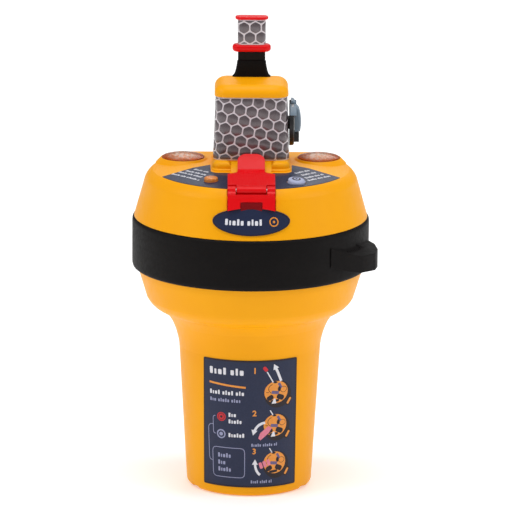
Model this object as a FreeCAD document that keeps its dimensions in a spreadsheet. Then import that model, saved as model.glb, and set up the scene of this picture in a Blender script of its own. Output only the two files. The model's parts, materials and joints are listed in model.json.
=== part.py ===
import FreeCAD, Part
import math
import os
import re
import Sketcher

# Compact emergency position beacon, millimetres.
# Origin: centre of the base on the body's axis. +Z up, the front faces -Y, the winder is on +X.

Vector = FreeCAD.Vector

DIMENSIONS = {
    # lower housing, radius and height of each corner of its outline
    "base_rad": 21.7, "base_round": 2.0, "base_rim_rad": 23.6, "base_rim_z": 2.0,
    "neck_rad": 26.65, "neck_z": 54.0, "flare_rad": 29.5, "flare_z": 63.5,
    "shelf_rad": 33.2, "shelf_z": 68.0, "bowl_low_rad": 39.0, "bowl_low_z": 72.8,
    "bowl_rad": 41.8, "bowl_z": 82.0, "flange_rad": 42.4, "flange_low_z": 84.5,
    "parting_z": 94.0, "spigot_rad": 40.0, "spigot_top_z": 102.2, "spigot_bore": 37.6,
    "floor_thick": 2.6, "cell_bay_rad": 21.4, "neck_bore": 24.2,
    "seal_low_z": 95.8, "seal_groove": 1.1, "seal_tall": 2.0,
    "foot_notch_wide": 5.6, "foot_notch_tall": 1.2, "foot_notch_angle": 28.0,
    # upper housing
    "dome_lip_rad": 43.8, "dome_lip_z": 103.6, "dome_rad": 39.8, "dome_z": 117.8,
    "top_rad": 36.9, "top_edge_z": 121.3, "crown_rad": 22.5, "top_z": 122.7, "top_thick": 2.7,
    "ceiling_rad": 24.0, "post_x": 31.0, "post_y": -4.0, "post_back_x": 14.0, "post_back_y": 27.0,
    "wall_bore": 40.15, "wall_bore_z": 104.5, "shoulder_bore": 37.8, "shoulder_bore_z": 113.6,
    "slope_start_y": 13.0, "slope_end_y": 38.0, "slope_end_z": 118.6, "cut_reach": 60.0,
    # strobe lights
    "lens_x": 25.5, "lens_y": 10.0, "lens_rad": 8.0, "lens_seat_z": 121.1, "lens_crown": 1.2,
    "lens_side": 2.9, "lens_round": 0.7, "pod_rad": 10.4, "pod_slope": 2.0,
    "pod_tall": 0.7, "strobe_bore": 6.5, "strobe_rad": 6.3, "strobe_low_z": 112.5,
    # tower
    "tower_y": 4.0, "tower_half_wide": 13.2, "tower_half_deep": 10.8,
    "tower_foot_half_wide": 14.2, "tower_foot_half_deep": 11.4, "tower_round": 4.0,
    "tower_top_z": 149.8, "tower_room_wide": 22.8, "tower_room_deep": 18.0, "tower_floor": 2.0,
    "cap_top_z": 154.3, "cap_over": 0.6, "cap_round": 5.0, "cap_edge": 3.6,
    "boot_foot_x": 7.2, "boot_neck_x": 6.3, "boot_tip_x": 5.6, "boot_tall": 5.2,
    "tape_thick": 0.2, "tape_low_z": 126.0, "tower_screw_x": 9.4, "tower_screw_y": 4.0,
    "tower_screw_apart": 14.0, "blade_well_wide": 14.0, "blade_well_deep": 8.0,
    "foot_tall": 0.7, "boss_inner_x": 7.6, "boss_outer_x": 14.4, "boss_front_y": -10.8,
    "boss_round": 3.2, "boss_top_z": 126.0, "ramp_front_y": -17.6,
    # antenna and winder
    "antenna_y": 11.2, "blade_wide": 10.3, "blade_thick": 0.3, "blade_low_z": 138.2,
    "tip_low_z": 163.9, "sleeve_low_z": 166.7, "sleeve_top_z": 176.2, "tip_top_z": 177.3,
    "spool_z": 138.2, "spool_rad": 8.4, "hub_rad": 5.6, "coil_rad": 7.15, "axle_rad": 2.5,
    "knob_x": 14.3, "knob_thick": 1.7, "knob_rad": 8.6, "crank_z": 145.6,
    # flap
    "flap_wide": 17.6, "flap_low_z": 123.05, "flap_front_z": 121.85, "flap_thick": 1.1, "flap_pivot_y": -37.3,
    "flap_pivot_z": 121.2, "knuckle_rad": 1.65, "pin_rad": 0.75, "flap_tab_wide": 10.2,
    "flap_seat_y": -38.2, "lug_inner_x": 5.8,
    # band
    "band_bore": 42.5, "band_rad": 44.5, "band_low_z": 84.5, "band_top_z": 103.5,
    # labels and keys
    "film": 0.2, "label_rad": 36.6, "label_turn": 86.0, "label_low_z": 3.7, "label_top_z": 53.4,
    "badge_z": 110.4, "badge_half_wide": 14.3, "badge_half_tall": 4.9,
    "power_key_y": -24.0, "power_key_rad": 4.2, "test_key_x": 16.7, "test_key_y": -26.6,
    "test_key_rad": 3.35, "led_x": -14.9, "led_y": -25.2, "led_rad": 2.55, "key_gap": 0.3,
    # inside
    "board_z": 104.0, "board_thick": 1.6, "board_rad": 35.0, "post_rad": 2.6,
    "key_board_z": 109.4, "cell_rad": 8.5, "cell_tall": 45.0, "cell_low_z": 6.2,
    "cell_circle": 9.85, "screw_z": 100.2,
}
DIMENSION_WORD = re.compile(r"[a-z_]+")

TOWER_SCREW_ROWS = ("tower_screw_y - tower_screw_apart / 2", "tower_screw_y + tower_screw_apart / 2")

doc = FreeCAD.newDocument("position_beacon")
sheet = doc.addObject("Spreadsheet::Sheet", "Dimensions")
for row, (alias, size) in enumerate(DIMENSIONS.items(), start=1):
    sheet.set("A%d" % row, alias)
    sheet.set("B%d" % row, str(size))
    sheet.setAlias("B%d" % row, alias)
doc.recompute()

sub_parts = []


def sheet_formula(formula):
    """Point each dimension's name in a formula at its cell in the sheet."""
    def cell(word):
        name = word.group(0)
        return "Dimensions." + name if name in DIMENSIONS else name
    return DIMENSION_WORD.sub(cell, str(formula))


def number(holder, formula):
    return float(holder.evalExpression(sheet_formula(formula)))


def bind(item, setting, formula):
    item.setExpression(setting, sheet_formula(formula))


def new_body(label, x="0", y="0", z="0"):
    """A sub-part of its own, placed by formulas."""
    body = doc.addObject("PartDesign::Body", label)
    body.Label = label
    bind(body, "Placement.Base.x", x)
    bind(body, "Placement.Base.y", y)
    bind(body, "Placement.Base.z", z)
    sub_parts.append(body)
    return body


def origin_feature(body, role):
    return [item for item in body.Origin.OriginFeatures if item.Role == role][0]


def new_sketch(body, plane, lift="0"):
    sketch = body.newObject("Sketcher::SketchObject", body.Label + "_sketch")
    sketch.AttachmentSupport = [(origin_feature(body, plane + "_Plane"), "")]
    sketch.MapMode = "FlatFace"
    bind(sketch, "AttachmentOffset.Base.z", lift)
    return sketch


def fix_point(sketch, edge, end, x, y):
    """Hold one point of a sketch at a place given by two formulas."""
    for kind, formula in (("DistanceX", x), ("DistanceY", y)):
        distance = number(sketch, formula)
        index = sketch.addConstraint(Sketcher.Constraint(kind, -1, 1, edge, end, distance))
        bind(sketch, "Constraints[%d]" % index, formula)


def arc_edge(start, end, radius):
    """The shorter arc between two points, counter-clockwise when the radius is positive."""
    chord = end - start
    rise = math.sqrt(radius * radius - chord.Length * chord.Length / 4)
    side = Vector(-chord.y, chord.x, 0).normalize() * math.copysign(rise, radius)
    centre = (start + end) / 2 + side
    first, last = (start, end) if radius > 0 else (end, start)
    from_angle = math.atan2(first.y - centre.y, first.x - centre.x)
    to_angle = math.atan2(last.y - centre.y, last.x - centre.x)
    if to_angle < from_angle:
        to_angle += 2 * math.pi
    circle = Part.Circle(centre, Vector(0, 0, 1), abs(radius))
    return Part.ArcOfCircle(circle, from_angle, to_angle)


def closed_outline(sketch, corners):
    """Lines through corners of two formulas; a third one is the radius of the arc that follows."""
    places = [Vector(number(sketch, corner[0]), number(sketch, corner[1]), 0) for corner in corners]
    edges = []
    for index, corner in enumerate(corners):
        start, end = places[index], places[(index + 1) % len(corners)]
        if len(corner) == 3:
            radius = number(sketch, corner[2])
            edge = sketch.addGeometry(arc_edge(start, end, radius), False)
            edges.append((edge, 1, 2) if radius > 0 else (edge, 2, 1))
        else:
            edge = sketch.addGeometry(Part.LineSegment(start, end), False)
            edges.append((edge, 1, 2))
    for index, (edge, first, last) in enumerate(edges):
        follower, follower_first, _ = edges[(index + 1) % len(edges)]
        sketch.addConstraint(Sketcher.Constraint("Coincident", edge, last, follower, follower_first))
    for (edge, first, _), corner in zip(edges, corners):
        fix_point(sketch, edge, first, corner[0], corner[1])
        if len(corner) == 3:
            size = abs(number(sketch, corner[2]))
            index = sketch.addConstraint(Sketcher.Constraint("Radius", edge, size))
            bind(sketch, "Constraints[%d]" % index, "abs(%s)" % corner[2])
    return sketch


def circle_outline(sketch, x, y, radius):
    centre = Vector(number(sketch, x), number(sketch, y), 0)
    size = number(sketch, radius)
    edge = sketch.addGeometry(Part.Circle(centre, Vector(0, 0, 1), size), False)
    fix_point(sketch, edge, 3, x, y)
    index = sketch.addConstraint(Sketcher.Constraint("Radius", edge, size))
    bind(sketch, "Constraints[%d]" % index, radius)
    return sketch


def rectangle(x_low, y_low, x_high, y_high):
    return [(x_low, y_low), (x_high, y_low), (x_high, y_high), (x_low, y_high)]


def rounded_rectangle(half_wide, half_deep, radius, x="0", y="0"):
    """Corners of a rectangle with round corners about the point x, y."""
    right, left = "%s + (%s)" % (x, half_wide), "%s - (%s)" % (x, half_wide)
    back, front = "%s + (%s)" % (y, half_deep), "%s - (%s)" % (y, half_deep)
    return [
        (left + " + " + radius, front), (right + " - " + radius, front, radius),
        (right, front + " + " + radius), (right, back + " - " + radius, radius),
        (right + " - " + radius, back), (left + " + " + radius, back, radius),
        (left, back + " - " + radius), (left, front + " + " + radius, radius),
    ]


def feature(body, kind, sketch):
    item = body.newObject("PartDesign::" + kind, body.Label + "_" + kind.lower())
    item.Profile = sketch
    return item


def revolve(body, corners, kind="Revolution", turn="360"):
    """Turn an outline of radius and height about the body's own Z axis."""
    sketch = closed_outline(new_sketch(body, "XZ"), corners)
    item = feature(body, kind, sketch)
    item.ReferenceAxis = (sketch, ["V_Axis"])
    bind(item, "Angle", turn)
    return item


def extrude(body, sketch, length, kind="Pad", midplane=False, reverse=False):
    item = feature(body, kind, sketch)
    item.Midplane = midplane
    item.Reversed = reverse
    bind(item, "Length", length)
    return item


def pad(body, corners, low, length, plane="XY"):
    return extrude(body, closed_outline(new_sketch(body, plane, low), corners), length)


def pad_across(body, corners, width):
    """Extrude a side profile of Y and Z evenly to both sides of X = 0."""
    return extrude(body, closed_outline(new_sketch(body, "YZ"), corners), width, midplane=True)


def cut_up(body, sketch, length):
    return extrude(body, sketch, length, kind="Pocket", reverse=True)


def cut_across(body, corners, width):
    sketch = closed_outline(new_sketch(body, "YZ"), corners)
    return extrude(body, sketch, width, kind="Pocket", midplane=True)


def bore_up(body, x, y, radius, low, length):
    """A round vertical hole from a height upwards."""
    return cut_up(body, circle_outline(new_sketch(body, "XY", low), x, y, radius), length)


def cylinder_pad(body, x, y, radius, low, length, plane="XY"):
    return extrude(body, circle_outline(new_sketch(body, plane, low), x, y, radius), length)


def polar_pattern(body, item, count):
    pattern = body.newObject("PartDesign::PolarPattern", body.Label + "_ring")
    pattern.Originals = [item]
    pattern.Axis = (origin_feature(body, "Z_Axis"), [""])
    pattern.Angle = 360
    pattern.Occurrences = count
    body.Tip = pattern
    return pattern


def edge_names(item, wanted):
    doc.recompute()
    return ["Edge%d" % (index + 1) for index, edge in enumerate(item.Shape.Edges) if wanted(edge)]


def round_edges(body, item, wanted, radius, kind="Fillet"):
    """Fillet or chamfer the edges of a feature that a test picks out."""
    names = edge_names(item, wanted)
    dress = body.newObject("PartDesign::" + kind, body.Label + "_" + kind.lower())
    dress.Base = (item, names)
    bind(dress, "Radius" if kind == "Fillet" else "Size", radius)
    return dress


def is_level(edge, dimension, offset=0.0):
    """True for an edge that lies flat at a dimension's height."""
    level = DIMENSIONS[dimension] + offset
    return abs(edge.BoundBox.ZMin - level) < 0.01 and abs(edge.BoundBox.ZMax - level) < 0.01


def is_upright(edge):
    box = edge.BoundBox
    return box.ZLength > 0.5 and box.XLength < 0.01 and box.YLength < 0.01


# ---- casings ----

def lower_housing():
    """Battery end: tapered neck, flare and bowl, closed at the base, with a spigot for the dome."""
    body = new_body("lower_housing")
    revolve(body, [
        ("0", "0"), ("base_rad", "0", "base_round"), ("base_rim_rad", "base_rim_z"),
        ("neck_rad", "neck_z", "-30"), ("flare_rad", "flare_z", "-15"), ("shelf_rad", "shelf_z", "9"),
        ("bowl_low_rad", "bowl_low_z"), ("bowl_rad", "bowl_z"), ("flange_rad", "flange_low_z"),
        ("flange_rad", "parting_z"), ("spigot_rad", "parting_z"), ("spigot_rad", "seal_low_z"),
        ("spigot_rad - seal_groove", "seal_low_z"),
        ("spigot_rad - seal_groove", "seal_low_z + seal_tall"),
        ("spigot_rad", "seal_low_z + seal_tall"), ("spigot_rad", "spigot_top_z"),
        ("spigot_bore", "spigot_top_z"), ("spigot_bore", "parting_z - 4"),
        ("flange_rad - 2.6", "flange_low_z"), ("bowl_rad - 2.8", "bowl_z - 1"),
        ("shelf_rad - 2.4", "shelf_z + 2.2"), ("neck_bore", "neck_z"),
        ("cell_bay_rad", "floor_thick + 1.4"), ("cell_bay_rad - 1.4", "floor_thick"),
        ("0", "floor_thick"),
    ])
    for angle in ("foot_notch_angle", "-foot_notch_angle"):
        for side in ("0", "180"):
            sketch = new_sketch(body, "XY")
            bind(sketch, "AttachmentOffset.Rotation.Angle", angle + " + " + side)
            closed_outline(sketch, rectangle(
                "base_rad - 0.7", "-foot_notch_wide / 2", "base_rim_rad + 2", "foot_notch_wide / 2"))
            cut_up(body, sketch, "foot_notch_tall")
    pilot = circle_outline(new_sketch(body, "XZ", "spigot_bore - 1"), "0", "screw_z", "0.8")
    polar_pattern(body, extrude(body, pilot, "4", kind="Pocket", reverse=True), 6)


def upper_housing():
    """Dome: band groove, sloped wall, level top that falls away at the back, holes for what it carries."""
    body = new_body("upper_housing")
    revolve(body, [
        ("0", "top_z - top_thick"), ("ceiling_rad", "top_z - top_thick"),
        ("shoulder_bore", "shoulder_bore_z"), ("wall_bore", "wall_bore_z"),
        ("wall_bore", "parting_z"), ("flange_rad", "parting_z"), ("flange_rad", "dome_lip_z"),
        ("dome_lip_rad", "dome_lip_z"), ("dome_rad", "dome_z", "7"), ("top_rad", "top_edge_z"),
        ("crown_rad", "top_z"), ("0", "top_z"),
    ])
    for x, y in (("post_x", "post_y"), ("-post_x", "post_y"), ("post_back_x", "post_back_y"),
                 ("-post_back_x", "post_back_y")):
        post_top = "top_z - top_thick - 1.5"
        cylinder_pad(body, x, y, "post_rad", "board_z + board_thick",
                     post_top + " - board_z - board_thick")
        bore_up(body, x, y, "0.9", "board_z + board_thick - 1", "7")
    cut_across(body, [
        ("slope_start_y", "top_z", "-cut_reach"), ("slope_end_y", "slope_end_z"),
        ("cut_reach", "slope_end_z - 6"), ("cut_reach", "top_z + 9"), ("slope_start_y", "top_z + 9"),
    ], "120")
    for x in ("lens_x", "-lens_x"):
        cylinder_pad(body, x, "lens_y", "pod_rad", "top_z - 3.4", "3.4 + pod_tall - pod_slope")
        skirt = cylinder_pad(body, x, "lens_y", "pod_rad", "top_z + pod_tall - pod_slope", "pod_slope")
        skirt.TaperAngle = -45
        bore_up(body, x, "lens_y", "lens_rad + 0.1", "lens_seat_z", "5")
        bore_up(body, x, "lens_y", "strobe_bore", "strobe_low_z", "12")
    bore_up(body, "0", "power_key_y", "power_key_rad + key_gap", "110", "14")
    bore_up(body, "test_key_x", "test_key_y", "test_key_rad + key_gap", "110", "14")
    bore_up(body, "led_x", "led_y", "led_rad + 0.1", "110", "14")
    cut_up(body, closed_outline(new_sketch(body, "XY", "115"), rectangle(
        "-blade_well_wide / 2", "tower_y - blade_well_deep / 2", "blade_well_wide / 2",
        "tower_y + blade_well_deep / 2")), "9")
    for x in ("-tower_screw_x", "tower_screw_x"):
        for y in TOWER_SCREW_ROWS:
            bore_up(body, x, y, "0.9", "115", "9")
    cut_across(body, [
        ("-cut_reach", "113.4"), ("flap_seat_y", "113.4"), ("flap_seat_y", "119.0"),
        ("flap_pivot_y + 2.05", "119.0"), ("flap_pivot_y + 2.05", "top_z + 3"), ("-cut_reach", "top_z + 3"),
    ], "flap_wide + 0.4")
    hole = circle_outline(new_sketch(body, "XZ", "wall_bore - 1"), "0", "screw_z", "1.0")
    polar_pattern(body, extrude(body, hole, "5", kind="Pocket", reverse=True), 6)
    sink = circle_outline(new_sketch(body, "XZ", "flange_rad - 1"), "0", "screw_z", "1.9")
    polar_pattern(body, extrude(body, sink, "1.5", kind="Pocket", reverse=True), 6)


def housing_seal():
    """Square-section sealing ring squeezed between the spigot and the dome."""
    body = new_body("housing_seal")
    revolve(body, rectangle("spigot_rad - seal_groove + 0.05", "seal_low_z + 0.1",
                            "wall_bore - 0.03", "seal_low_z + seal_tall - 0.1"))


def radial_screws():
    """Six screws through the dome's skirt into the spigot, under the band."""
    body = new_body("housing_screws")
    shank = circle_outline(new_sketch(body, "XZ", "spigot_bore + 0.2"), "0", "screw_z", "0.75")
    first = extrude(body, shank, "flange_rad - 1.1 - spigot_bore")
    head = circle_outline(new_sketch(body, "XZ", "flange_rad - 0.95"), "0", "screw_z", "1.75")
    second = extrude(body, head, "0.9")
    pattern = body.newObject("PartDesign::PolarPattern", "screw_ring")
    pattern.Originals = [first, second]
    pattern.Axis = (origin_feature(body, "Z_Axis"), [""])
    pattern.Angle = 360
    pattern.Occurrences = 6
    body.Tip = pattern


def lanyard_band():
    """Rubber band in the groove round the joint, with a pull tab that leaves it at the right."""
    body = new_body("lanyard_band")
    revolve(body, [
        ("band_bore", "band_low_z"), ("band_rad - 1.6", "band_low_z", "1.7"),
        ("band_rad", "band_low_z + 1.6"), ("band_rad", "band_top_z - 0.5"),
        ("band_rad - 0.5", "band_top_z"), ("band_bore", "band_top_z"),
    ])
    pad(body, [
        ("29.2", "-32.2"), ("29.9", "-33.1"), ("40.6", "-25.0", "3"), ("43.4", "-23.2"),
        ("47.0", "-18.6", "4"), ("48.3", "-13.5"), ("43.6", "-6.5"), ("42.6", "-6.5"),
        ("42.0", "-12.0"),
    ], "band_low_z + 0.3", "99.3 - band_low_z")
    revolve(body, rectangle("30", "band_low_z - 1", "band_bore", "band_top_z + 1"), kind="Groove")
    revolve(body, [("band_rad", "97.8"), ("56", "92.0"), ("56", "101"), ("band_rad", "101")],
            kind="Groove")
    revolve(body, [("band_rad + 0.1", "band_low_z - 1"), ("56", "band_low_z - 1"),
                   ("56", "band_low_z + 4.2"), ("band_rad + 0.1", "band_low_z + 1.7")],
            kind="Groove")


# ---- strobe lights ----

def strobe(side, x):
    """Clear lens, reflector cup and light-emitting diode of one strobe light."""
    lens = new_body("strobe_lens_" + side, x, "lens_y", "lens_seat_z")
    revolve(lens, [
        ("0", "0"), ("lens_rad", "0"), ("lens_rad", "lens_side - 0.6"),
        ("lens_rad - lens_round", "lens_side",
         "((lens_rad - lens_round) ^ 2 + lens_crown ^ 2) / (2 * lens_crown)"),
        ("0", "lens_side + lens_crown"),
    ])
    cup = new_body("strobe_reflector_" + side, x, "lens_y", "strobe_low_z")
    revolve(cup, [
        ("1.9", "0"), ("strobe_rad", "0"), ("strobe_rad", "lens_seat_z - strobe_low_z"),
        ("strobe_rad - 0.5", "lens_seat_z - strobe_low_z", "14"), ("1.9", "1.2"),
    ])
    lamp = new_body("strobe_led_" + side, x, "lens_y", "strobe_low_z")
    pad(lamp, rectangle("-4.5", "-4.5", "4.5", "4.5"), "-1.2", "1.2")
    cylinder_pad(lamp, "0", "0", "1.7", "0", "1.5")


# ---- tower ----

def tower_section(body, half_wide, half_deep, level):
    return closed_outline(new_sketch(body, "XY", level), rounded_rectangle(
        half_wide, half_deep, "tower_round", y="tower_y"))


def tower_loft(body, low, high, grow, kind):
    """Tapered tower outline between two heights, grown outwards by a skin's thickness."""
    def at(level, foot, top):
        part = "(%s - top_z) / (tower_top_z - top_z)" % level
        return "(%s + (%s - %s) * %s + %s)" % (foot, top, foot, part, grow)
    sections = [
        tower_section(body, at(level, "tower_foot_half_wide", "tower_half_wide"),
                      at(level, "tower_foot_half_deep", "tower_half_deep"), level)
        for level in (low, high)
    ]
    item = body.newObject("PartDesign::" + kind, body.Label + "_loft")
    item.Profile = sections[0]
    item.Sections = sections[1:]
    return item


def tower_housing():
    """Winder tower: tapered box on a foot flange, two front bosses and the ramp for the flap's tab."""
    body = new_body("tower_housing")
    foot = pad(body, rounded_rectangle("14.8", "14.2", "3", y="tower_y - 1.4"), "top_z", "foot_tall")
    round_edges(body, foot, lambda edge: is_level(edge, "top_z", DIMENSIONS["foot_tall"]), "0.4",
                kind="Chamfer")
    tower_loft(body, "top_z", "tower_top_z", "0", "AdditiveLoft")
    right_boss = [("boss_inner_x", "tower_y - 9"), ("boss_inner_x", "boss_front_y"),
                  ("boss_outer_x - boss_round", "boss_front_y", "boss_round"),
                  ("boss_outer_x", "boss_front_y + boss_round"), ("boss_outer_x", "tower_y - 9")]
    left_boss = [("-(%s)" % corner[0], corner[1]) for corner in reversed(right_boss)]
    left_boss[1] += ("boss_round",)
    for outline in (right_boss, left_boss):
        boss = pad(body, outline, "top_z", "boss_top_z - top_z")
        round_edges(body, boss, is_boss_edge, "1.9")
    pad_across(body, [("tower_y - 9", "top_z"), ("ramp_front_y", "top_z"), ("ramp_front_y", "top_z + 0.05"),
                      ("-14.0", "top_z + 0.1", "-9"), ("-8.2", "boss_top_z - 0.6"),
                      ("tower_y - 9", "boss_top_z - 0.2")], "2 * boss_inner_x")
    cut_up(body, closed_outline(new_sketch(body, "XY", "top_z + tower_floor"), rounded_rectangle(
        "tower_room_wide / 2", "tower_room_deep / 2", "2", y="tower_y")), "40")
    extrude(body, circle_outline(new_sketch(body, "YZ", "-13.0"), "tower_y", "spool_z", "axle_rad + 0.08"),
            "40", kind="Pocket", reverse=True)
    cut_up(body, closed_outline(new_sketch(body, "XY", "top_z - 1"), rectangle(
        "-6.5", "tower_y - 3.5", "6.5", "tower_y + 3.5")), "5")
    for x in ("-tower_screw_x", "tower_screw_x"):
        for y in TOWER_SCREW_ROWS:
            bore_up(body, x, y, "1.05", "top_z - 1", "5")


def is_boss_edge(edge):
    """The top edges of a boss outside the tower's front wall."""
    return is_level(edge, "boss_top_z") and edge.BoundBox.YMin < DIMENSIONS["tower_y"] - 11.6


def tower_screws():
    """Four screws that hold the tower's floor to the dome."""
    body = new_body("tower_screws")
    for x in ("-tower_screw_x", "tower_screw_x"):
        for y in TOWER_SCREW_ROWS:
            cylinder_pad(body, x, y, "0.85", "top_z - top_thick + 0.3", "top_thick + tower_floor - 0.3")
            cylinder_pad(body, x, y, "1.8", "top_z + tower_floor", "1.2")


def tower_cap():
    """Cap with rounded edges that closes the tower, with the slot that the antenna leaves by."""
    body = new_body("tower_cap")
    cap = pad(body, rounded_rectangle("tower_half_wide + cap_over", "tower_half_deep + cap_over",
                                      "cap_round", y="tower_y"), "tower_top_z", "cap_top_z - tower_top_z")
    round_edges(body, cap, lambda edge: is_level(edge, "cap_top_z"), "cap_edge")
    pad(body, rounded_rectangle("tower_room_wide / 2 - 0.1", "tower_room_deep / 2 - 0.1", "1.9",
                                y="tower_y"), "tower_top_z - 2", "2.4")
    cut_up(body, closed_outline(new_sketch(body, "XY", "tower_top_z - 3"), rectangle(
        "-blade_wide / 2 - 0.6", "antenna_y - 0.7", "blade_wide / 2 + 0.6", "antenna_y + 0.7")), "8")
    cut_up(body, closed_outline(new_sketch(body, "XY", "cap_top_z - 1"), rectangle(
        "-6.4", "antenna_y - 1.6", "6.4", "antenna_y + 1.6")), "3")


def tower_reflector():
    """Reflective tape wrapped round the tower."""
    body = new_body("tower_reflector")
    tower_loft(body, "tape_low_z", "tower_top_z - 0.1", "tape_thick", "AdditiveLoft")
    tower_loft(body, "tape_low_z", "tower_top_z - 0.1", "0", "SubtractiveLoft")
    extrude(body, circle_outline(new_sketch(body, "YZ"), "tower_y", "spool_z", "axle_rad + 0.5"),
            "60", kind="Pocket", reverse=True)


def antenna_grommet():
    """Rubber boot round the antenna's slot."""
    body = new_body("antenna_grommet")
    pad(body, rectangle("-boot_neck_x", "antenna_y - 1.5", "boot_neck_x", "antenna_y + 1.5"),
        "cap_top_z - 1", "1")
    profile = [
        ("-boot_foot_x", "cap_top_z"), ("boot_foot_x", "cap_top_z"), ("boot_foot_x", "cap_top_z + 0.3"),
        ("boot_neck_x", "cap_top_z + 0.7", "-11"), ("boot_tip_x", "cap_top_z + boot_tall"),
        ("-boot_tip_x", "cap_top_z + boot_tall", "-11"), ("-boot_neck_x", "cap_top_z + 0.7"),
        ("-boot_foot_x", "cap_top_z + 0.3"),
    ]
    sketch = closed_outline(new_sketch(body, "XZ", "-antenna_y - 1.7"), profile)
    extrude(body, sketch, "3.4")
    cut_up(body, closed_outline(new_sketch(body, "XY", "cap_top_z - 2"), rectangle(
        "-blade_wide / 2 - 0.25", "antenna_y - 0.45", "blade_wide / 2 + 0.25", "antenna_y + 0.45")), "9")


# ---- antenna and winder ----

def antenna():
    """Spring-steel blade with its red end piece and reflective sleeve."""
    blade = new_body("antenna_blade")
    pad(blade, rectangle("-blade_wide / 2", "antenna_y - blade_thick / 2",
                         "blade_wide / 2", "antenna_y + blade_thick / 2"),
        "blade_low_z", "tip_low_z - blade_low_z")
    tip = new_body("antenna_end_piece")
    lower = pad(tip, rounded_rectangle("7.2", "2.7", "2.3", y="antenna_y"), "tip_low_z",
                "sleeve_low_z - tip_low_z")
    round_edges(tip, lower, lambda edge: edge.BoundBox.ZLength < 0.01, "1.2")
    pad(tip, rounded_rectangle("5.05", "2.0", "1.7", y="antenna_y"), "sleeve_low_z - 0.5",
        "sleeve_top_z - sleeve_low_z + 1")
    upper = pad(tip, rounded_rectangle("6.15", "2.5", "2.1", y="antenna_y"), "sleeve_top_z",
                "tip_top_z - sleeve_top_z")
    round_edges(tip, upper, lambda edge: is_level(edge, "tip_top_z") or is_rim(edge), "0.4")
    sleeve = new_body("antenna_reflector")
    pad(sleeve, rounded_rectangle("5.27", "2.22", "1.9", y="antenna_y"), "sleeve_low_z",
        "sleeve_top_z - sleeve_low_z")
    cut_up(sleeve, closed_outline(new_sketch(sleeve, "XY", "sleeve_low_z"), rounded_rectangle(
        "5.07", "2.02", "1.7", y="antenna_y")), "sleeve_top_z - sleeve_low_z")


def is_rim(edge):
    """The outer lower edges of the end piece's top flange."""
    box = edge.BoundBox
    inside = box.XMax < 5.2 and box.XMin > -5.2 and box.YLength > 0.01
    return is_level(edge, "sleeve_top_z") and not inside and not is_core(edge)


def is_core(edge):
    middle = edge.CenterOfMass
    return abs(middle.x) < 5.2 and abs(middle.y - DIMENSIONS["antenna_y"]) < 2.1


def x_ring(body, radius, low, length):
    """A disc about the spool's axis, from one X to another."""
    return cylinder_pad(body, "tower_y", "spool_z", radius, low, length, plane="YZ")


def winder():
    """Spool on its axle in the tower, the wound-up blade, and the knob outside."""
    spool = new_body("winder_spool")
    x_ring(spool, "axle_rad", "-12.9", "12.9 + knob_x")
    x_ring(spool, "hub_rad", "-6.6", "13.2")
    x_ring(spool, "spool_rad", "-6.6", "1.0")
    x_ring(spool, "spool_rad", "5.6", "1.0")
    coil = new_body("antenna_coil")
    x_ring(coil, "coil_rad - 0.2", "-blade_wide / 2", "blade_wide")
    centre = circle_outline(new_sketch(coil, "YZ"), "tower_y", "spool_z", "hub_rad + 0.05")
    extrude(coil, centre, "60", kind="Pocket", midplane=True)
    knob = new_body("winder_knob")
    disc = x_ring(knob, "knob_rad", "knob_x", "knob_thick")
    round_edges(knob, disc, lambda edge: edge.BoundBox.XMin > DIMENSIONS["knob_x"] + 0.5
                and edge.BoundBox.ZLength > 9, "0.4", kind="Chamfer")
    pad(knob, [("tower_y - 3.2", "131.4"), ("tower_y + 3.2", "131.4"), ("tower_y + 3.2", "134.6"),
               ("tower_y - 3.2", "134.6")], "knob_x + 1", "knob_thick + 0.9", plane="YZ")
    sketch = closed_outline(new_sketch(knob, "YZ", "knob_x - 1"), rectangle(
        "tower_y - 3.6", "140.3", "tower_y + 3.6", "149"))
    extrude(knob, sketch, "5", kind="Pocket", reverse=True)
    pad(knob, rectangle("tower_y - 3.6", "142.6", "tower_y + 3.6", "143.6"), "knob_x", "0.35", plane="YZ")
    pin_hole = circle_outline(new_sketch(knob, "XZ", "-tower_y"), "knob_x + 1.15", "crank_z", "0.5")
    extrude(knob, pin_hole, "10.4", kind="Pocket", midplane=True)


def winder_handle():
    """Fold-out crank: root plate in the knob's slot and a domed grip."""
    body = new_body("winder_handle")
    plate = [("knob_x + 0.55", "140.7"), ("knob_x + 1.9", "140.7"), ("knob_x + 1.9", "146.4"),
             ("knob_x + 1.3", "147.0"), ("knob_x + 0.55", "147.0")]
    extrude(body, closed_outline(new_sketch(body, "XZ", "-tower_y"), plate), "6.4", midplane=True)
    grip = [("knob_x + 1.9", "135.2"), ("knob_x + 4.0", "135.4", "16"), ("knob_x + 3.6", "143.6"),
            ("knob_x + 2.6", "144.6"), ("knob_x + 1.9", "144.6")]
    item = extrude(body, closed_outline(new_sketch(body, "XZ", "-tower_y"), grip), "6.4", midplane=True)
    round_edges(body, item, lambda edge: edge.BoundBox.YLength < 0.01 and edge.BoundBox.ZLength > 7
                and edge.BoundBox.XMin > DIMENSIONS["knob_x"] + 3, "0.9")
    bore = circle_outline(new_sketch(body, "XZ", "-tower_y"), "knob_x + 1.15", "crank_z", "0.55")
    extrude(body, bore, "20", kind="Pocket", midplane=True)


def winder_handle_pin():
    body = new_body("winder_handle_pin")
    shaft = circle_outline(new_sketch(body, "XZ", "-tower_y"), "knob_x + 1.15", "crank_z", "0.5")
    extrude(body, shaft, "10.4", midplane=True)


# ---- flap over the power key ----

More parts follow.
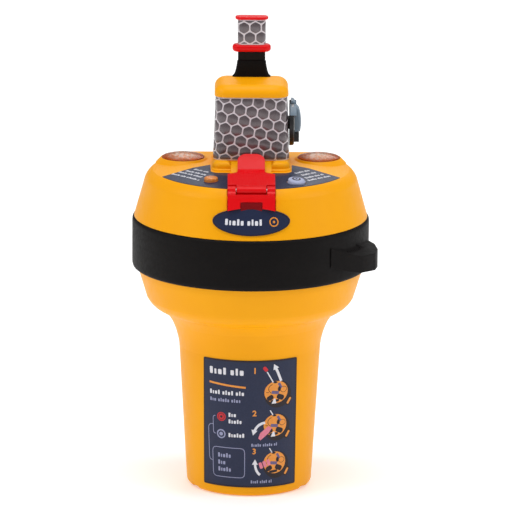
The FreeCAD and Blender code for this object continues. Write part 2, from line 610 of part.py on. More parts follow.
def flap_base():
    """Red hinge base on the front of the dome, with two lugs and a slot."""
    body = new_body("flap_base")
    pad_across(body, [
        ("flap_seat_y", "113.5"), ("-42.1", "113.5"), ("-40.5", "118.9"), ("-40.3", "120.2"),
        ("-39.3", "120.2"), ("-39.3", "119.1"), ("flap_seat_y", "119.1"),
    ], "flap_wide")
    lug = [("-40.5", "118.4"), ("-39.6", "120.6"), ("flap_pivot_y - knuckle_rad", "flap_pivot_z",
           "-knuckle_rad"), ("flap_pivot_y", "flap_pivot_z + knuckle_rad", "-knuckle_rad"),
           ("flap_pivot_y + knuckle_rad", "flap_pivot_z"), ("flap_pivot_y + knuckle_rad", "119.2"),
           ("flap_seat_y", "119.2"), ("flap_seat_y", "118.4")]
    for low in ("lug_inner_x", "-flap_wide / 2"):
        pad(body, lug, low, "flap_wide / 2 - lug_inner_x", plane="YZ")
    pin_hole = circle_outline(new_sketch(body, "YZ"), "flap_pivot_y", "flap_pivot_z", "pin_rad + 0.02")
    extrude(body, pin_hole, "40", kind="Pocket", midplane=True)
    slot = closed_outline(new_sketch(body, "XZ", "40.7"), rectangle("-4.1", "113.0", "4.1", "117.6"))
    extrude(body, slot, "10", kind="Pocket", reverse=True)
    badge_gap(body)


def badge_gap(body):
    """Clear the space of the badge from the base's lower edge."""
    sketch = new_sketch(body, "XZ")
    oval_outline(sketch, "badge_half_wide + 0.15", "badge_half_tall + 0.15")
    extrude(body, sketch, "60", kind="Pocket", reverse=True)


def oval_outline(sketch, half_wide, half_tall):
    centre = Vector(0, DIMENSIONS["badge_z"], 0)
    wide, tall = number(sketch, half_wide), number(sketch, half_tall)
    ellipse = Part.Ellipse(centre + Vector(wide, 0, 0), centre + Vector(0, tall, 0), centre)
    sketch.addGeometry(ellipse, False)


def flap_cover():
    """Hinged red flap: plate over the power key and a pull tab that lies up the tower's ramp."""
    body = new_body("flap_cover")
    top = "flap_low_z + flap_thick"
    plate = pad_across(body, [
        ("flap_pivot_y + 2.15", "flap_front_z"), ("-22.5", "flap_low_z"), ("-16.5", "flap_low_z"),
        ("-16.5", top), ("-22.5", top), ("flap_pivot_y + 2.15", "flap_front_z + flap_thick"),
    ], "flap_wide")
    for side in (1, -1):
        corner = [("flap_wide / 2 + 1", "-22.2"), ("flap_wide / 2", "-22.2"),
                  ("flap_wide / 2 - 0.6", "-21.5", "-4"), ("flap_tab_wide / 2", "-17.9"),
                  ("flap_tab_wide / 2", "-15"), ("flap_wide / 2 + 1", "-15")]
        if side < 0:
            corner = [("-(%s)" % point[0], point[1]) for point in corner]
            corner[2] += ("4",)
        cut_up(body, closed_outline(new_sketch(body, "XY", "flap_low_z - 1"), corner), "4")
    tab = pad_across(body, [
        ("-17.2", "flap_low_z"), ("-16.3", "flap_low_z", "3"), ("-14.1", "flap_low_z + 1.0"),
        ("-8.5", "128.1"), ("-9.3", "128.9"), ("-15.0", top + " + 0.62", "-2"), ("-16.4", top),
        ("-17.2", top),
    ], "flap_tab_wide")
    round_edges(body, tab, is_tab_corner, "3.4")
    barrel = circle_outline(new_sketch(body, "YZ"), "flap_pivot_y", "flap_pivot_z", "knuckle_rad")
    extrude(body, barrel, "2 * (lug_inner_x - 0.3)", midplane=True)
    pad_across(body, rectangle("flap_pivot_y", "flap_front_z", "flap_pivot_y + 2.4",
                               "flap_front_z + flap_thick"), "2 * (lug_inner_x - 0.3)")
    hole = circle_outline(new_sketch(body, "YZ"), "flap_pivot_y", "flap_pivot_z", "pin_rad + 0.06")
    extrude(body, hole, "40", kind="Pocket", midplane=True)


def is_tab_corner(edge):
    box = edge.BoundBox
    return box.XLength < 0.01 and box.YMin > -9.4 and box.ZMin > 128.0


def flap_hinge_pin():
    body = new_body("flap_hinge_pin")
    shaft = circle_outline(new_sketch(body, "YZ"), "flap_pivot_y", "flap_pivot_z", "pin_rad")
    extrude(body, shaft, "flap_wide - 0.4", midplane=True)


# ---- labels ----

def top_label():
    """Film on the dome's top, round the tower's foot and under the flap."""
    body = new_body("top_label")
    edge_z = "top_edge_z + (top_rad - label_rad) * (top_z - top_edge_z) / (top_rad - crown_rad)"
    revolve(body, [("1", "top_z"), ("crown_rad", "top_z"), ("label_rad", edge_z),
                   ("label_rad", edge_z + " + film"), ("crown_rad", "top_z + film"),
                   ("1", "top_z + film")])
    behind = [
        ("50", "-29.8"), ("15.3", "-1.2"), ("15.1", "-11.9", "-3.2"), ("12.4", "-15.0"),
        ("-12.4", "-15.0", "-3.2"), ("-15.1", "-11.9"), ("-15.3", "-1.2"), ("-50", "-29.8"),
        ("-50", "50"), ("50", "50"),
    ]
    under_flap = rectangle("-flap_wide / 2 - 0.3", "-40", "flap_wide / 2 + 0.3", "flap_pivot_y + 2.3")
    under_ramp = rectangle("-boss_inner_x - 0.3", "ramp_front_y - 0.3", "boss_inner_x + 0.3", "-14")
    for outline in (behind, under_flap, under_ramp):
        cut_up(body, closed_outline(new_sketch(body, "XY", "top_z - 4"), outline), "8")
    bore_up(body, "0", "power_key_y", "power_key_rad + key_gap", "top_z - 4", "8")
    bore_up(body, "test_key_x", "test_key_y", "test_key_rad + key_gap", "top_z - 4", "8")
    bore_up(body, "led_x", "led_y", "led_rad + 0.2", "top_z - 4", "8")


def instruction_label():
    """Film on the front of the neck."""
    body = new_body("instruction_label")
    slope = "(neck_rad - base_rim_rad) / (neck_z - base_rim_z)"
    low = "base_rim_rad + (label_low_z - base_rim_z) * " + slope
    high = "base_rim_rad + (label_top_z - base_rim_z) * " + slope
    item = revolve(body, [
        (low, "label_low_z"), (low + " + film", "label_low_z"), (high + " + film", "label_top_z"),
        (high, "label_top_z"),
    ], turn="label_turn")
    item.Midplane = True
    body.Placement = FreeCAD.Placement(Vector(), FreeCAD.Rotation(Vector(0, 0, 1), -90))


def badge_label():
    """Oval badge, plain, curved to the dome's wall."""
    body = new_body("badge_label")
    sketch = new_sketch(body, "XZ", "dome_rad - 8")
    oval_outline(sketch, "badge_half_wide", "badge_half_tall")
    extrude(body, sketch, "20")
    lean = "(dome_lip_rad - dome_rad) / (dome_z - dome_lip_z)"
    near = "dome_lip_rad + %s * 6"
    inner_low, inner_high = near % lean, "dome_rad - 3 * " + lean
    low_z, high_z = "dome_lip_z - 6", "dome_z + 3"
    revolve(body, [("20", low_z), (inner_low, low_z), (inner_high, high_z), ("20", high_z)],
            kind="Groove")
    revolve(body, [(inner_low + " + 0.45", low_z), ("70", low_z), ("70", high_z),
                   (inner_high + " + 0.45", high_z)], kind="Groove")


# ---- keys, boards and battery ----

def key(label, x, y, radius, flange_z, sunk):
    """A key cap with a stop flange under the dome and a stem down to its switch."""
    body = new_body(label, x, y, flange_z)
    cylinder_pad(body, "0", "0", radius + " + 0.8", "0", "0.9")
    cylinder_pad(body, "0", "0", radius, "0.9", "top_z - 0.9 - %s - %s" % (sunk, flange_z))
    stem_low = "key_board_z + board_thick + 1.9 - (%s)" % flange_z
    cylinder_pad(body, "0", "0", "1.3", stem_low, "0.1 - (%s)" % stem_low)


def key_parts():
    key("on_off_button", "0", "power_key_y", "power_key_rad", "116.0", "0.55")
    key("test_button", "test_key_x", "test_key_y", "test_key_rad", "113.6", "0.35")
    light = new_body("status_led", "led_x", "led_y", "key_board_z + board_thick")
    dome = cylinder_pad(light, "0", "0", "led_rad", "0", "top_z + 1.0 - key_board_z - board_thick")
    round_edges(light, dome, lambda edge: edge.BoundBox.ZMin > 1, "0.8")
    board = new_body("key_board")
    pad(board, [("-19.0", "-28.0"), ("19.0", "-28.0"), ("21.5", "-24.0"), ("21.5", "-18.5"),
                ("-19.0", "-18.5")], "key_board_z", "board_thick")
    switches = new_body("key_switches")
    for x, y in (("0", "power_key_y"), ("test_key_x", "test_key_y")):
        pad(switches, rectangle("%s - 2.2" % x, "%s - 2.2" % y, "%s + 2.2" % x, "%s + 2.2" % y),
            "key_board_z + board_thick", "0.8")
    socket = new_body("board_connector")
    pad(socket, rectangle("-7", "-20.6", "7", "-18.8"), "board_z + board_thick",
        "key_board_z - board_z - board_thick")


def main_board():
    """Round circuit board on the dome's four posts, with its screws, cans and aerial."""
    board = new_body("main_circuit_board")
    cylinder_pad(board, "0", "0", "board_rad", "board_z", "board_thick")
    screws = new_body("board_screws")
    for x, y in (("post_x", "post_y"), ("-post_x", "post_y"), ("post_back_x", "post_back_y"),
                 ("-post_back_x", "post_back_y")):
        bore_up(board, x, y, "1.05", "board_z - 1", "5")
        cylinder_pad(screws, x, y, "1.8", "board_z - 1.2", "1.2")
        cylinder_pad(screws, x, y, "0.85", "board_z", "5.5")
    shield = new_body("radio_shield")
    can = rectangle("-22", "-13", "4", "6")
    pad(shield, can, "board_z + board_thick", "3.4")
    cut_up(shield, closed_outline(new_sketch(shield, "XY", "board_z + board_thick"), rectangle(
        "-21.6", "-12.6", "3.6", "5.6")), "3.0")
    chip = new_body("radio_chips")
    for x, y in (("-17", "-9"), ("-8", "-8"), ("-15", "0")):
        pad(chip, rectangle("%s - 2.5" % x, "%s - 2.5" % y, "%s + 2.5" % x, "%s + 2.5" % y),
            "board_z + board_thick", "1.1")
    aerial = new_body("satellite_aerial")
    pad(aerial, rectangle("-9", "12", "9", "30"), "board_z + board_thick", "4.0")
    store = new_body("flash_capacitors")
    for x in ("12", "21"):
        cylinder_pad(store, x, "-6", "3.6", "board_z + board_thick", "9")


def battery():
    """Three lithium cells in a cradle with a lid, contact plates and a plug to the board."""
    places = [(math.sin(math.radians(angle)), math.cos(math.radians(angle))) for angle in (0, 120, 240)]
    cells = new_body("battery_cells")
    cradle = new_body("battery_cradle")
    lid = new_body("battery_lid")
    plates = new_body("battery_contacts")
    cradle_top = "cell_low_z + 10"
    cylinder_pad(cradle, "0", "0", "cell_bay_rad - 0.5", "floor_thick + 1.5",
                 "%s - floor_thick - 1.5" % cradle_top)
    lid_low = "cell_low_z + cell_tall - 6"
    cylinder_pad(lid, "0", "0", "21.8", lid_low, "8.6")
    for right, back in places:
        x, y = "%.4f * cell_circle" % right, "%.4f * cell_circle" % back
        cylinder_pad(cells, x, y, "cell_rad", "cell_low_z", "cell_tall")
        cylinder_pad(cells, x, y, "2.5", "cell_low_z + cell_tall", "0.7")
        bore_up(cradle, x, y, "cell_rad + 0.1", "cell_low_z - 0.4", "20")
        cylinder_pad(plates, x, y, "6", "cell_low_z - 0.4", "0.35")
        bore_up(lid, x, y, "cell_rad + 0.1", "%s - 1" % lid_low, "7.8")
    plug = new_body("battery_plug")
    pad(plug, rectangle("-5", "-3", "5", "3"), "board_z - 6", "6")


def build():
    lower_housing()
    upper_housing()
    housing_seal()
    radial_screws()
    lanyard_band()
    strobe("right", "lens_x")
    strobe("left", "-lens_x")
    tower_housing()
    tower_screws()
    tower_cap()
    tower_reflector()
    antenna_grommet()
    antenna()
    winder()
    winder_handle()
    winder_handle_pin()
    flap_base()
    flap_cover()
    flap_hinge_pin()
    top_label()
    instruction_label()
    badge_label()
    key_parts()
    main_board()
    battery()


def check_and_write():
    doc.recompute()
    for item in doc.Objects:
        if {"Invalid", "Error"} & set(item.State):
            raise RuntimeError("%s failed to recompute: %s" % (item.Label, item.State))
    for part in sub_parts:
        if part.Shape.isNull() or not part.Shape.isValid():
            raise RuntimeError("%s has no valid shape" % part.Label)
    os.makedirs("parts", exist_ok=True)
    for part in sub_parts:
        part.Shape.exportStep("parts/%s.step" % part.Label)


build()
check_and_write()
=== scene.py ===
"""Compact emergency position beacon: materials, printed graphics, honeycomb tape, studio."""
import json
import math

import bmesh
import bpy
from mathutils import Matrix, Vector
from mathutils.bvhtree import BVHTree

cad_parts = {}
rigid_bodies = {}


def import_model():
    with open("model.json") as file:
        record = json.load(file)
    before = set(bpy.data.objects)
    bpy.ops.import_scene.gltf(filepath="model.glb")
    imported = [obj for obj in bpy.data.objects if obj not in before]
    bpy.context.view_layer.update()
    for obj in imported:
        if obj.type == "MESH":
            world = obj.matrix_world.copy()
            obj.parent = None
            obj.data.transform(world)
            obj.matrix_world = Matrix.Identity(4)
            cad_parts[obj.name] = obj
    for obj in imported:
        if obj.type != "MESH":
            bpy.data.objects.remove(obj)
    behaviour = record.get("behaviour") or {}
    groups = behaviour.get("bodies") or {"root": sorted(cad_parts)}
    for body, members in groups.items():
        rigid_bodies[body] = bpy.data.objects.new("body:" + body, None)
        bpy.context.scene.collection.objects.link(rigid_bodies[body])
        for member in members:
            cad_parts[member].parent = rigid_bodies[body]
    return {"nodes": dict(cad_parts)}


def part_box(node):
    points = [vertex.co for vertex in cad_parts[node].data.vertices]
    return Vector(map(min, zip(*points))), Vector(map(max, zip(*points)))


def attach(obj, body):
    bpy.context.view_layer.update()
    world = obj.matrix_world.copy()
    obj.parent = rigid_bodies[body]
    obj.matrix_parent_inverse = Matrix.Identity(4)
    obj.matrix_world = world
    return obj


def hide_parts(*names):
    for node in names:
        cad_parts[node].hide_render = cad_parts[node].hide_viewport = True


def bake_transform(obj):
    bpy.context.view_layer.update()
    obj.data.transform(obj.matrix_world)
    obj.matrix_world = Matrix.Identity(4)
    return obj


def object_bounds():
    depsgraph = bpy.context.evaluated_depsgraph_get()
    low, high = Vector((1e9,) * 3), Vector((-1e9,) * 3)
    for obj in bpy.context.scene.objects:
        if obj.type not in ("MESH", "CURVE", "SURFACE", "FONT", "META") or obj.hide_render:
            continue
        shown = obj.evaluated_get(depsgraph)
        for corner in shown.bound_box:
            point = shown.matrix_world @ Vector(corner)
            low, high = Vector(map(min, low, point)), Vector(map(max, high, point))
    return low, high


for leftover in list(bpy.data.objects):
    bpy.data.objects.remove(leftover)
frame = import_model()
cad_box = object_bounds()
nodes = frame["nodes"]
MM = 0.001
# In millimetres: the lenses' centres, the centre of the painted amber shade on each lens (set forward,
# so the back of each lens is darkest), and the antenna.
LENS_X, LENS_Y, PAINTED_SHADE_Y, ANTENNA_Y = 25.5, 10.0, 8.3, 11.2


def placed(name, data):
    """A new object, put in the scene."""
    made = bpy.data.objects.new(name, data)
    bpy.context.scene.collection.objects.link(made)
    return made


def box_mm(node):
    """The lowest and highest corner of a CAD node, in millimetres."""
    low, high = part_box(node)
    return low / MM, high / MM


# ---------------------------------------------------------------- materials

def linear(red, green, blue):
    """A screen colour, 0 to 255, as the linear colour that the shader takes."""
    def channel(value):
        value = value / 255
        return value / 12.92 if value <= 0.04045 else ((value + 0.055) / 1.055) ** 2.4
    return (channel(red), channel(green), channel(blue), 1.0)


class Shade:
    """A node material on a Principled shader, with textures laid out in millimetres."""

    def __init__(self, name, **settings):
        self.material = bpy.data.materials.new(name)
        self.material.use_nodes = True
        self.tree = self.material.node_tree
        self.shader = self.tree.nodes["Principled BSDF"]
        for socket, value in settings.items():
            self.shader.inputs[socket.replace("_", " ")].default_value = value
        place = self.add("ShaderNodeTexCoord")
        scale = self.add("ShaderNodeMapping")
        scale.inputs["Scale"].default_value = (1 / MM,) * 3
        self.link(place, "Object", scale, "Vector")
        self.place = scale

    def add(self, kind, **settings):
        node = self.tree.nodes.new(kind)
        for name, value in settings.items():
            setattr(node, name, value)
        return node

    def link(self, source, output, target, socket):
        self.tree.links.new(source.outputs[output], target.inputs[socket])

    def noise(self, per_mm, detail, stretch=None, rough=0.55):
        texture = self.add("ShaderNodeTexNoise")
        texture.inputs["Scale"].default_value = per_mm
        texture.inputs["Detail"].default_value = detail
        texture.inputs["Roughness"].default_value = rough
        source = self.place
        if stretch:
            source = self.add("ShaderNodeMapping")
            source.inputs["Scale"].default_value = stretch
            self.link(self.place, "Vector", source, "Vector")
        self.link(source, "Vector", texture, "Vector")
        return texture

    def span(self, source, output, low, high, first=0.0, last=1.0):
        """The part of a value between low and high, spread from first to last."""
        reach = self.add("ShaderNodeMapRange")
        ends = {"From Min": low, "From Max": high, "To Min": first, "To Max": last}
        for socket, value in ends.items():
            reach.inputs[socket].default_value = value
        self.link(source, output, reach, "Value")
        return reach

    def mix(self, share, share_output, first, second):
        """Blend two colours; either may be a colour or a (node, output) pair."""
        mixer = self.add("ShaderNodeMix", data_type="RGBA")
        self.link(share, share_output, mixer, 0)
        for index, value in ((6, first), (7, second)):
            if isinstance(value[0], bpy.types.Node):
                self.link(*value, mixer, index)
            else:
                mixer.inputs[index].default_value = value
        return mixer

    def colour(self, mixer):
        """Take the surface's colour from a mix."""
        self.link(mixer, 2, self.shader, "Base Color")

    def roughness(self, texture, low, high, first, last):
        """Roughness from first to last, where a texture is from low to high."""
        reach = self.span(texture, "Fac", low, high, first, last)
        self.link(reach, "Result", self.shader, "Roughness")

    def edges(self, radius_mm):
        """About 1 on sharp edges and 0 on flats."""
        soft = self.add("ShaderNodeBevel", samples=6)
        soft.inputs["Radius"].default_value = radius_mm * MM
        surface = self.add("ShaderNodeNewGeometry")
        dot = self.add("ShaderNodeVectorMath", operation="DOT_PRODUCT")
        self.link(soft, "Normal", dot, 0)
        self.link(surface, "Normal", dot, 1)
        return self.span(dot, "Value", 0.98, 0.75)

    def bump(self, layers, edge_mm=None):
        """Stack height textures, each (node, output, strength, depth in mm)."""
        normal = None
        if edge_mm:
            normal = self.add("ShaderNodeBevel", samples=6)
            normal.inputs["Radius"].default_value = edge_mm * MM
        for source, output, strength, depth in layers:
            bump = self.add("ShaderNodeBump")
            bump.inputs["Strength"].default_value = strength
            bump.inputs["Distance"].default_value = depth * MM
            self.link(source, output, bump, "Height")
            if normal:
                self.link(normal, "Normal", bump, "Normal")
            normal = bump
        self.link(normal, "Normal", self.shader, "Normal")


def moulded(name, colour, second, worn_colour, rough, grain=0.25, edge=0.35, coat=0.0, **settings):
    """Moulded plastic: cloudy colour, orange peel, fine grain, softened and slightly worn edges."""
    shade = Shade(name, Coat_Weight=coat, Coat_Roughness=0.12, **settings)
    cloud = shade.noise(0.035, 4.0)
    speck = shade.noise(0.9, 5.0)
    fine = shade.noise(6.0, 2.0)
    peel = shade.noise(0.55, 2.0)
    tone = shade.mix(shade.span(cloud, "Fac", 0.3, 0.7), "Result", colour, second)
    worn = shade.add("ShaderNodeMath", operation="MULTIPLY")
    shade.link(shade.edges(edge * 1.3), "Result", worn, 0)
    shade.link(shade.span(speck, "Fac", 0.42, 0.66, 0.1, 0.75), "Result", worn, 1)
    final = shade.mix(worn, "Value", (tone, 2), worn_colour)
    shade.colour(final)
    scratch = shade.noise(0.5, 6.0, stretch=(3.0, 0.35, 0.5), rough=0.7)
    shade.roughness(scratch, 0.35, 0.7, rough - 0.05, rough + 0.1)
    shade.bump([(peel, "Fac", 0.12, 0.12), (fine, "Fac", grain, 0.02)], edge_mm=edge)
    return shade.material


def printed(name, colour, second, rough, coat=0.2):
    """Ink or film: faint screen-print mottle, fine grain and a soft sheen."""
    shade = Shade(name, Coat_Weight=coat, Coat_Roughness=0.2, Specular_IOR_Level=0.3)
    mottle = shade.noise(1.6, 4.0)
    tone = shade.mix(shade.span(mottle, "Fac", 0.3, 0.7), "Result", colour, second)
    shade.colour(tone)
    shade.roughness(mottle, 0.3, 0.7, rough - 0.05, rough + 0.08)
    shade.bump([(shade.noise(5.0, 2.0), "Fac", 0.15, 0.01)])
    return shade.material


def metal(name, colour, second, rough, stretch=(0.4, 6.0, 6.0)):
    """Bare metal with drawn lines, dulled patches and brighter edges."""
    shade = Shade(name, Metallic=1.0)
    lines = shade.noise(1.5, 5.0, stretch=stretch)
    tone = shade.mix(shade.span(lines, "Fac", 0.3, 0.7), "Result", colour, second)
    shade.colour(tone)
    shade.roughness(lines, 0.3, 0.7, rough, rough + 0.15)
    shade.bump([(lines, "Fac", 0.2, 0.02)], edge_mm=0.15)
    return shade.material


def rubber(name, colour, second, rough, grain=0.5, edge=0.4):
    """Satin rubber: fine pebbling, faint flow marks, paler scuffs on the edges."""
    shade = Shade(name, Specular_IOR_Level=0.12)
    flow = shade.noise(0.09, 5.0, stretch=(1.0, 1.0, 2.4))
    scuff = shade.noise(0.7, 6.0, rough=0.7)
    pebble = shade.add("ShaderNodeTexVoronoi", feature="SMOOTH_F1")
    pebble.inputs["Scale"].default_value = 3.2
    shade.link(shade.place, "Vector", pebble, "Vector")
    tone = shade.mix(shade.span(flow, "Fac", 0.3, 0.75), "Result", colour, second)
    worn = shade.add("ShaderNodeMath", operation="MULTIPLY")
    shade.link(shade.edges(edge * 1.4), "Result", worn, 0)
    shade.link(shade.span(scuff, "Fac", 0.45, 0.7, 0.05, 0.8), "Result", worn, 1)
    pale = tuple(min(1.0, value * 2.2 + 0.015) for value in second[:3]) + (1.0,)
    final = shade.mix(worn, "Value", (tone, 2), pale)
    shade.colour(final)
    shade.roughness(scuff, 0.3, 0.72, rough - 0.06, rough + 0.12)
    shade.bump([(flow, "Fac", 0.15, 0.3), (pebble, "Distance", grain, 0.05)], edge_mm=edge)
    return shade.material


def tape(name, colour, second, rough, metallic=0.0):
    """Retro-reflective cells: a fine bead texture under a clear film."""
    shade = Shade(name, Coat_Weight=0.9, Coat_Roughness=0.14, Metallic=metallic)
    beads = shade.add("ShaderNodeTexVoronoi")
    beads.inputs["Scale"].default_value = 4.5
    shade.link(shade.place, "Vector", beads, "Vector")
    cloud = shade.noise(0.5, 4.0)
    tone = shade.mix(shade.span(beads, "Distance", 0.0, 0.7), "Result", colour, second)
    dull = shade.mix(shade.span(cloud, "Fac", 0.35, 0.75, 0.0, 0.5), "Result", (tone, 2), second)
    shade.colour(dull)
    shade.roughness(cloud, 0.3, 0.7, rough - 0.06, rough + 0.1)
    shade.bump([(beads, "Distance", 0.25, 0.03), (cloud, "Fac", 0.1, 0.1)])
    return shade.material


def lens_with_painted_light(name, colour, second, painted_shade_colour, rough):
    """Frosted lens with painted light: a pale speckled painted reflection of the bowl's glints towards
    the front of each lens, and deep amber painted shade towards its rim, darkest at the back.
    """
    shade = Shade(name, Transmission_Weight=0.6, IOR=1.2, Specular_IOR_Level=0.5)
    parts = shade.add("ShaderNodeSeparateXYZ")
    shade.link(shade.place, "Vector", parts, "Vector")
    either_side = shade.add("ShaderNodeMath", operation="ABSOLUTE")
    shade.link(parts, "X", either_side, 0)
    local = shade.add("ShaderNodeCombineXYZ")
    for source, output, centre, socket in ((either_side, "Value", LENS_X, "X"),
                                           (parts, "Y", PAINTED_SHADE_Y, "Y")):
        offset = shade.add("ShaderNodeMath", operation="SUBTRACT")
        shade.link(source, output, offset, 0)
        offset.inputs[1].default_value = centre
        shade.link(offset, "Value", local, socket)
    distance = shade.add("ShaderNodeVectorMath", operation="LENGTH")
    shade.link(local, "Vector", distance, 0)
    speck = shade.noise(0.9, 4.0, stretch=(1.0, 0.5, 1.0))
    # Painted reflection: pale peach speckles stand for glints of the reflector bowl seen through the
    # lens.
    pale = shade.mix(shade.span(speck, "Fac", 0.42, 0.62), "Result", colour, second)
    # Painted shade: deep amber from 3.2 to 6.8 mm off a centre set forward, so the back of each lens is
    # darkest.
    tone = shade.mix(shade.span(distance, "Value", 3.2, 6.8), "Result", (pale, 2), painted_shade_colour)
    shade.colour(tone)
    shade.roughness(speck, 0.3, 0.7, rough, rough + 0.1)
    shade.bump([(speck, "Fac", 0.25, 0.2)])
    return shade.material


finishes = {}
for finish, maker, colours, settings in (
        ("yellow_shell", moulded, ((246, 168, 0), (242, 162, 0), (252, 184, 30)),
         dict(rough=0.42, Specular_IOR_Level=0.16)),
        ("red_plastic", moulded, ((226, 4, 14), (216, 2, 10), (238, 26, 32)),
         dict(rough=0.34, edge=0.25, Specular_IOR_Level=0.2)),
        ("black_rubber", rubber, ((9, 6, 6), (14, 10, 9)), dict(rough=0.55)),
        ("black_plastic", moulded, ((20, 20, 22), (27, 27, 30), (70, 70, 74)),
         dict(rough=0.4, edge=0.2)),
        ("grey_plastic", moulded, ((118, 136, 152), (104, 122, 138), (160, 174, 186)),
         dict(rough=0.42, edge=0.3)),
        ("navy_film", printed, ((29, 38, 68), (25, 34, 62)), dict(rough=0.4, coat=0.05)),
        ("reflective_tape", tape, ((222, 212, 216), (204, 196, 202)), dict(rough=0.3)),
        # The lens colours are painted light: a pale speckled painted reflection, and deep amber painted
        # shade at the rim.
        ("clear_lens", lens_with_painted_light, ((240, 172, 124), (255, 234, 214), (216, 106, 8)),
         dict(rough=0.12)),
        ("reflector_metal", metal, ((230, 228, 225), (205, 200, 196)),
         dict(rough=0.12, stretch=(2.0, 2.0, 2.0))),
        ("lamp", printed, ((250, 240, 190), (240, 225, 160)), dict(rough=0.3)),
        ("amber_light", moulded, ((226, 140, 58), (214, 122, 44), (250, 190, 120)),
         dict(rough=0.22, edge=0.3, coat=0.4)),
        ("key_rubber", rubber, ((172, 178, 204), (162, 168, 196)),
         dict(rough=0.45, grain=0.25, edge=0.25)),
        ("spring_steel", moulded, ((15, 11, 9), (20, 15, 13), (60, 54, 50)),
         dict(rough=0.5, edge=0.08, Specular_IOR_Level=0.15)),
        ("steel", metal, ((190, 190, 192), (160, 160, 164)), dict(rough=0.25)),
        ("seal_rubber", rubber, ((40, 40, 42), (50, 50, 52)), dict(rough=0.6)),
        ("circuit_board", printed, ((30, 92, 52), (22, 78, 44)), dict(rough=0.4)),
        ("tinned_can", metal, ((200, 200, 202), (176, 176, 180)), dict(rough=0.2)),
        ("chip_plastic", moulded, ((32, 32, 34), (40, 40, 42), (80, 80, 84)),
         dict(rough=0.5, edge=0.1)),
        ("ceramic", printed, ((214, 204, 184), (202, 190, 168)), dict(rough=0.5)),
        ("cell_jacket", printed, ((60, 104, 148), (52, 92, 134)), dict(rough=0.35)),
        ("contact_metal", metal, ((214, 190, 120), (190, 164, 96)), dict(rough=0.25)),
        ("inner_plastic", moulded, ((92, 92, 94), (80, 80, 83), (130, 130, 132)),
         dict(rough=0.5, edge=0.25)),
        ("collar", moulded, ((206, 96, 18), (176, 70, 6), (226, 130, 60)),
         dict(rough=0.4, edge=0.15, coat=0.2)),
        ("bowl", moulded, ((250, 214, 186), (224, 140, 90), (255, 236, 220)),
         dict(rough=0.3, grain=0.1, edge=0.1, coat=0.5, Metallic=0.35)),
        # The slot finish is painted shade: a darker, duller red for the slot's recess.
        ("slot", moulded, ((132, 4, 12), (112, 2, 8), (160, 10, 18)),
         dict(rough=0.5, edge=0.1, Specular_IOR_Level=0.1))):
    finishes[finish] = maker(finish + "_finish", *[linear(*colour) for colour in colours], **settings)
for node in nodes.values():
    for holder in node.material_slots:
        holder.material = finishes[holder.material.name.split(".")[0]]
inks = {"cell": tape("tape_cell", linear(112, 100, 104), linear(84, 74, 78), 0.34, 0.35)}
for ink, first, second, rough, coat in (
        ("pale", (226, 226, 232), (214, 215, 224), 0.4, 0.2),
        ("orange", (232, 150, 58), (222, 138, 48), 0.4, 0.2),
        ("dark", (28, 20, 26), (36, 26, 32), 0.45, 0.05),
        ("red", (206, 28, 44), (190, 22, 36), 0.4, 0.2),
        ("pink", (226, 130, 150), (214, 116, 138), 0.4, 0.2),
        ("violet", (104, 92, 134), (92, 82, 122), 0.4, 0.2),
        ("line", (150, 154, 186), (138, 142, 176), 0.4, 0.2)):
    inks[ink] = printed("ink_" + ink, linear(*first), linear(*second), rough, coat)


# ---------------------------------------------------------------- flat shapes, bent onto a surface

def join(mesh, first, second):
    """Faces between two closed rings of vertices."""
    count = len(first)
    for i in range(count):
        j = (i + 1) % count
        mesh.faces.new((first[i], first[j], second[j], second[i]))


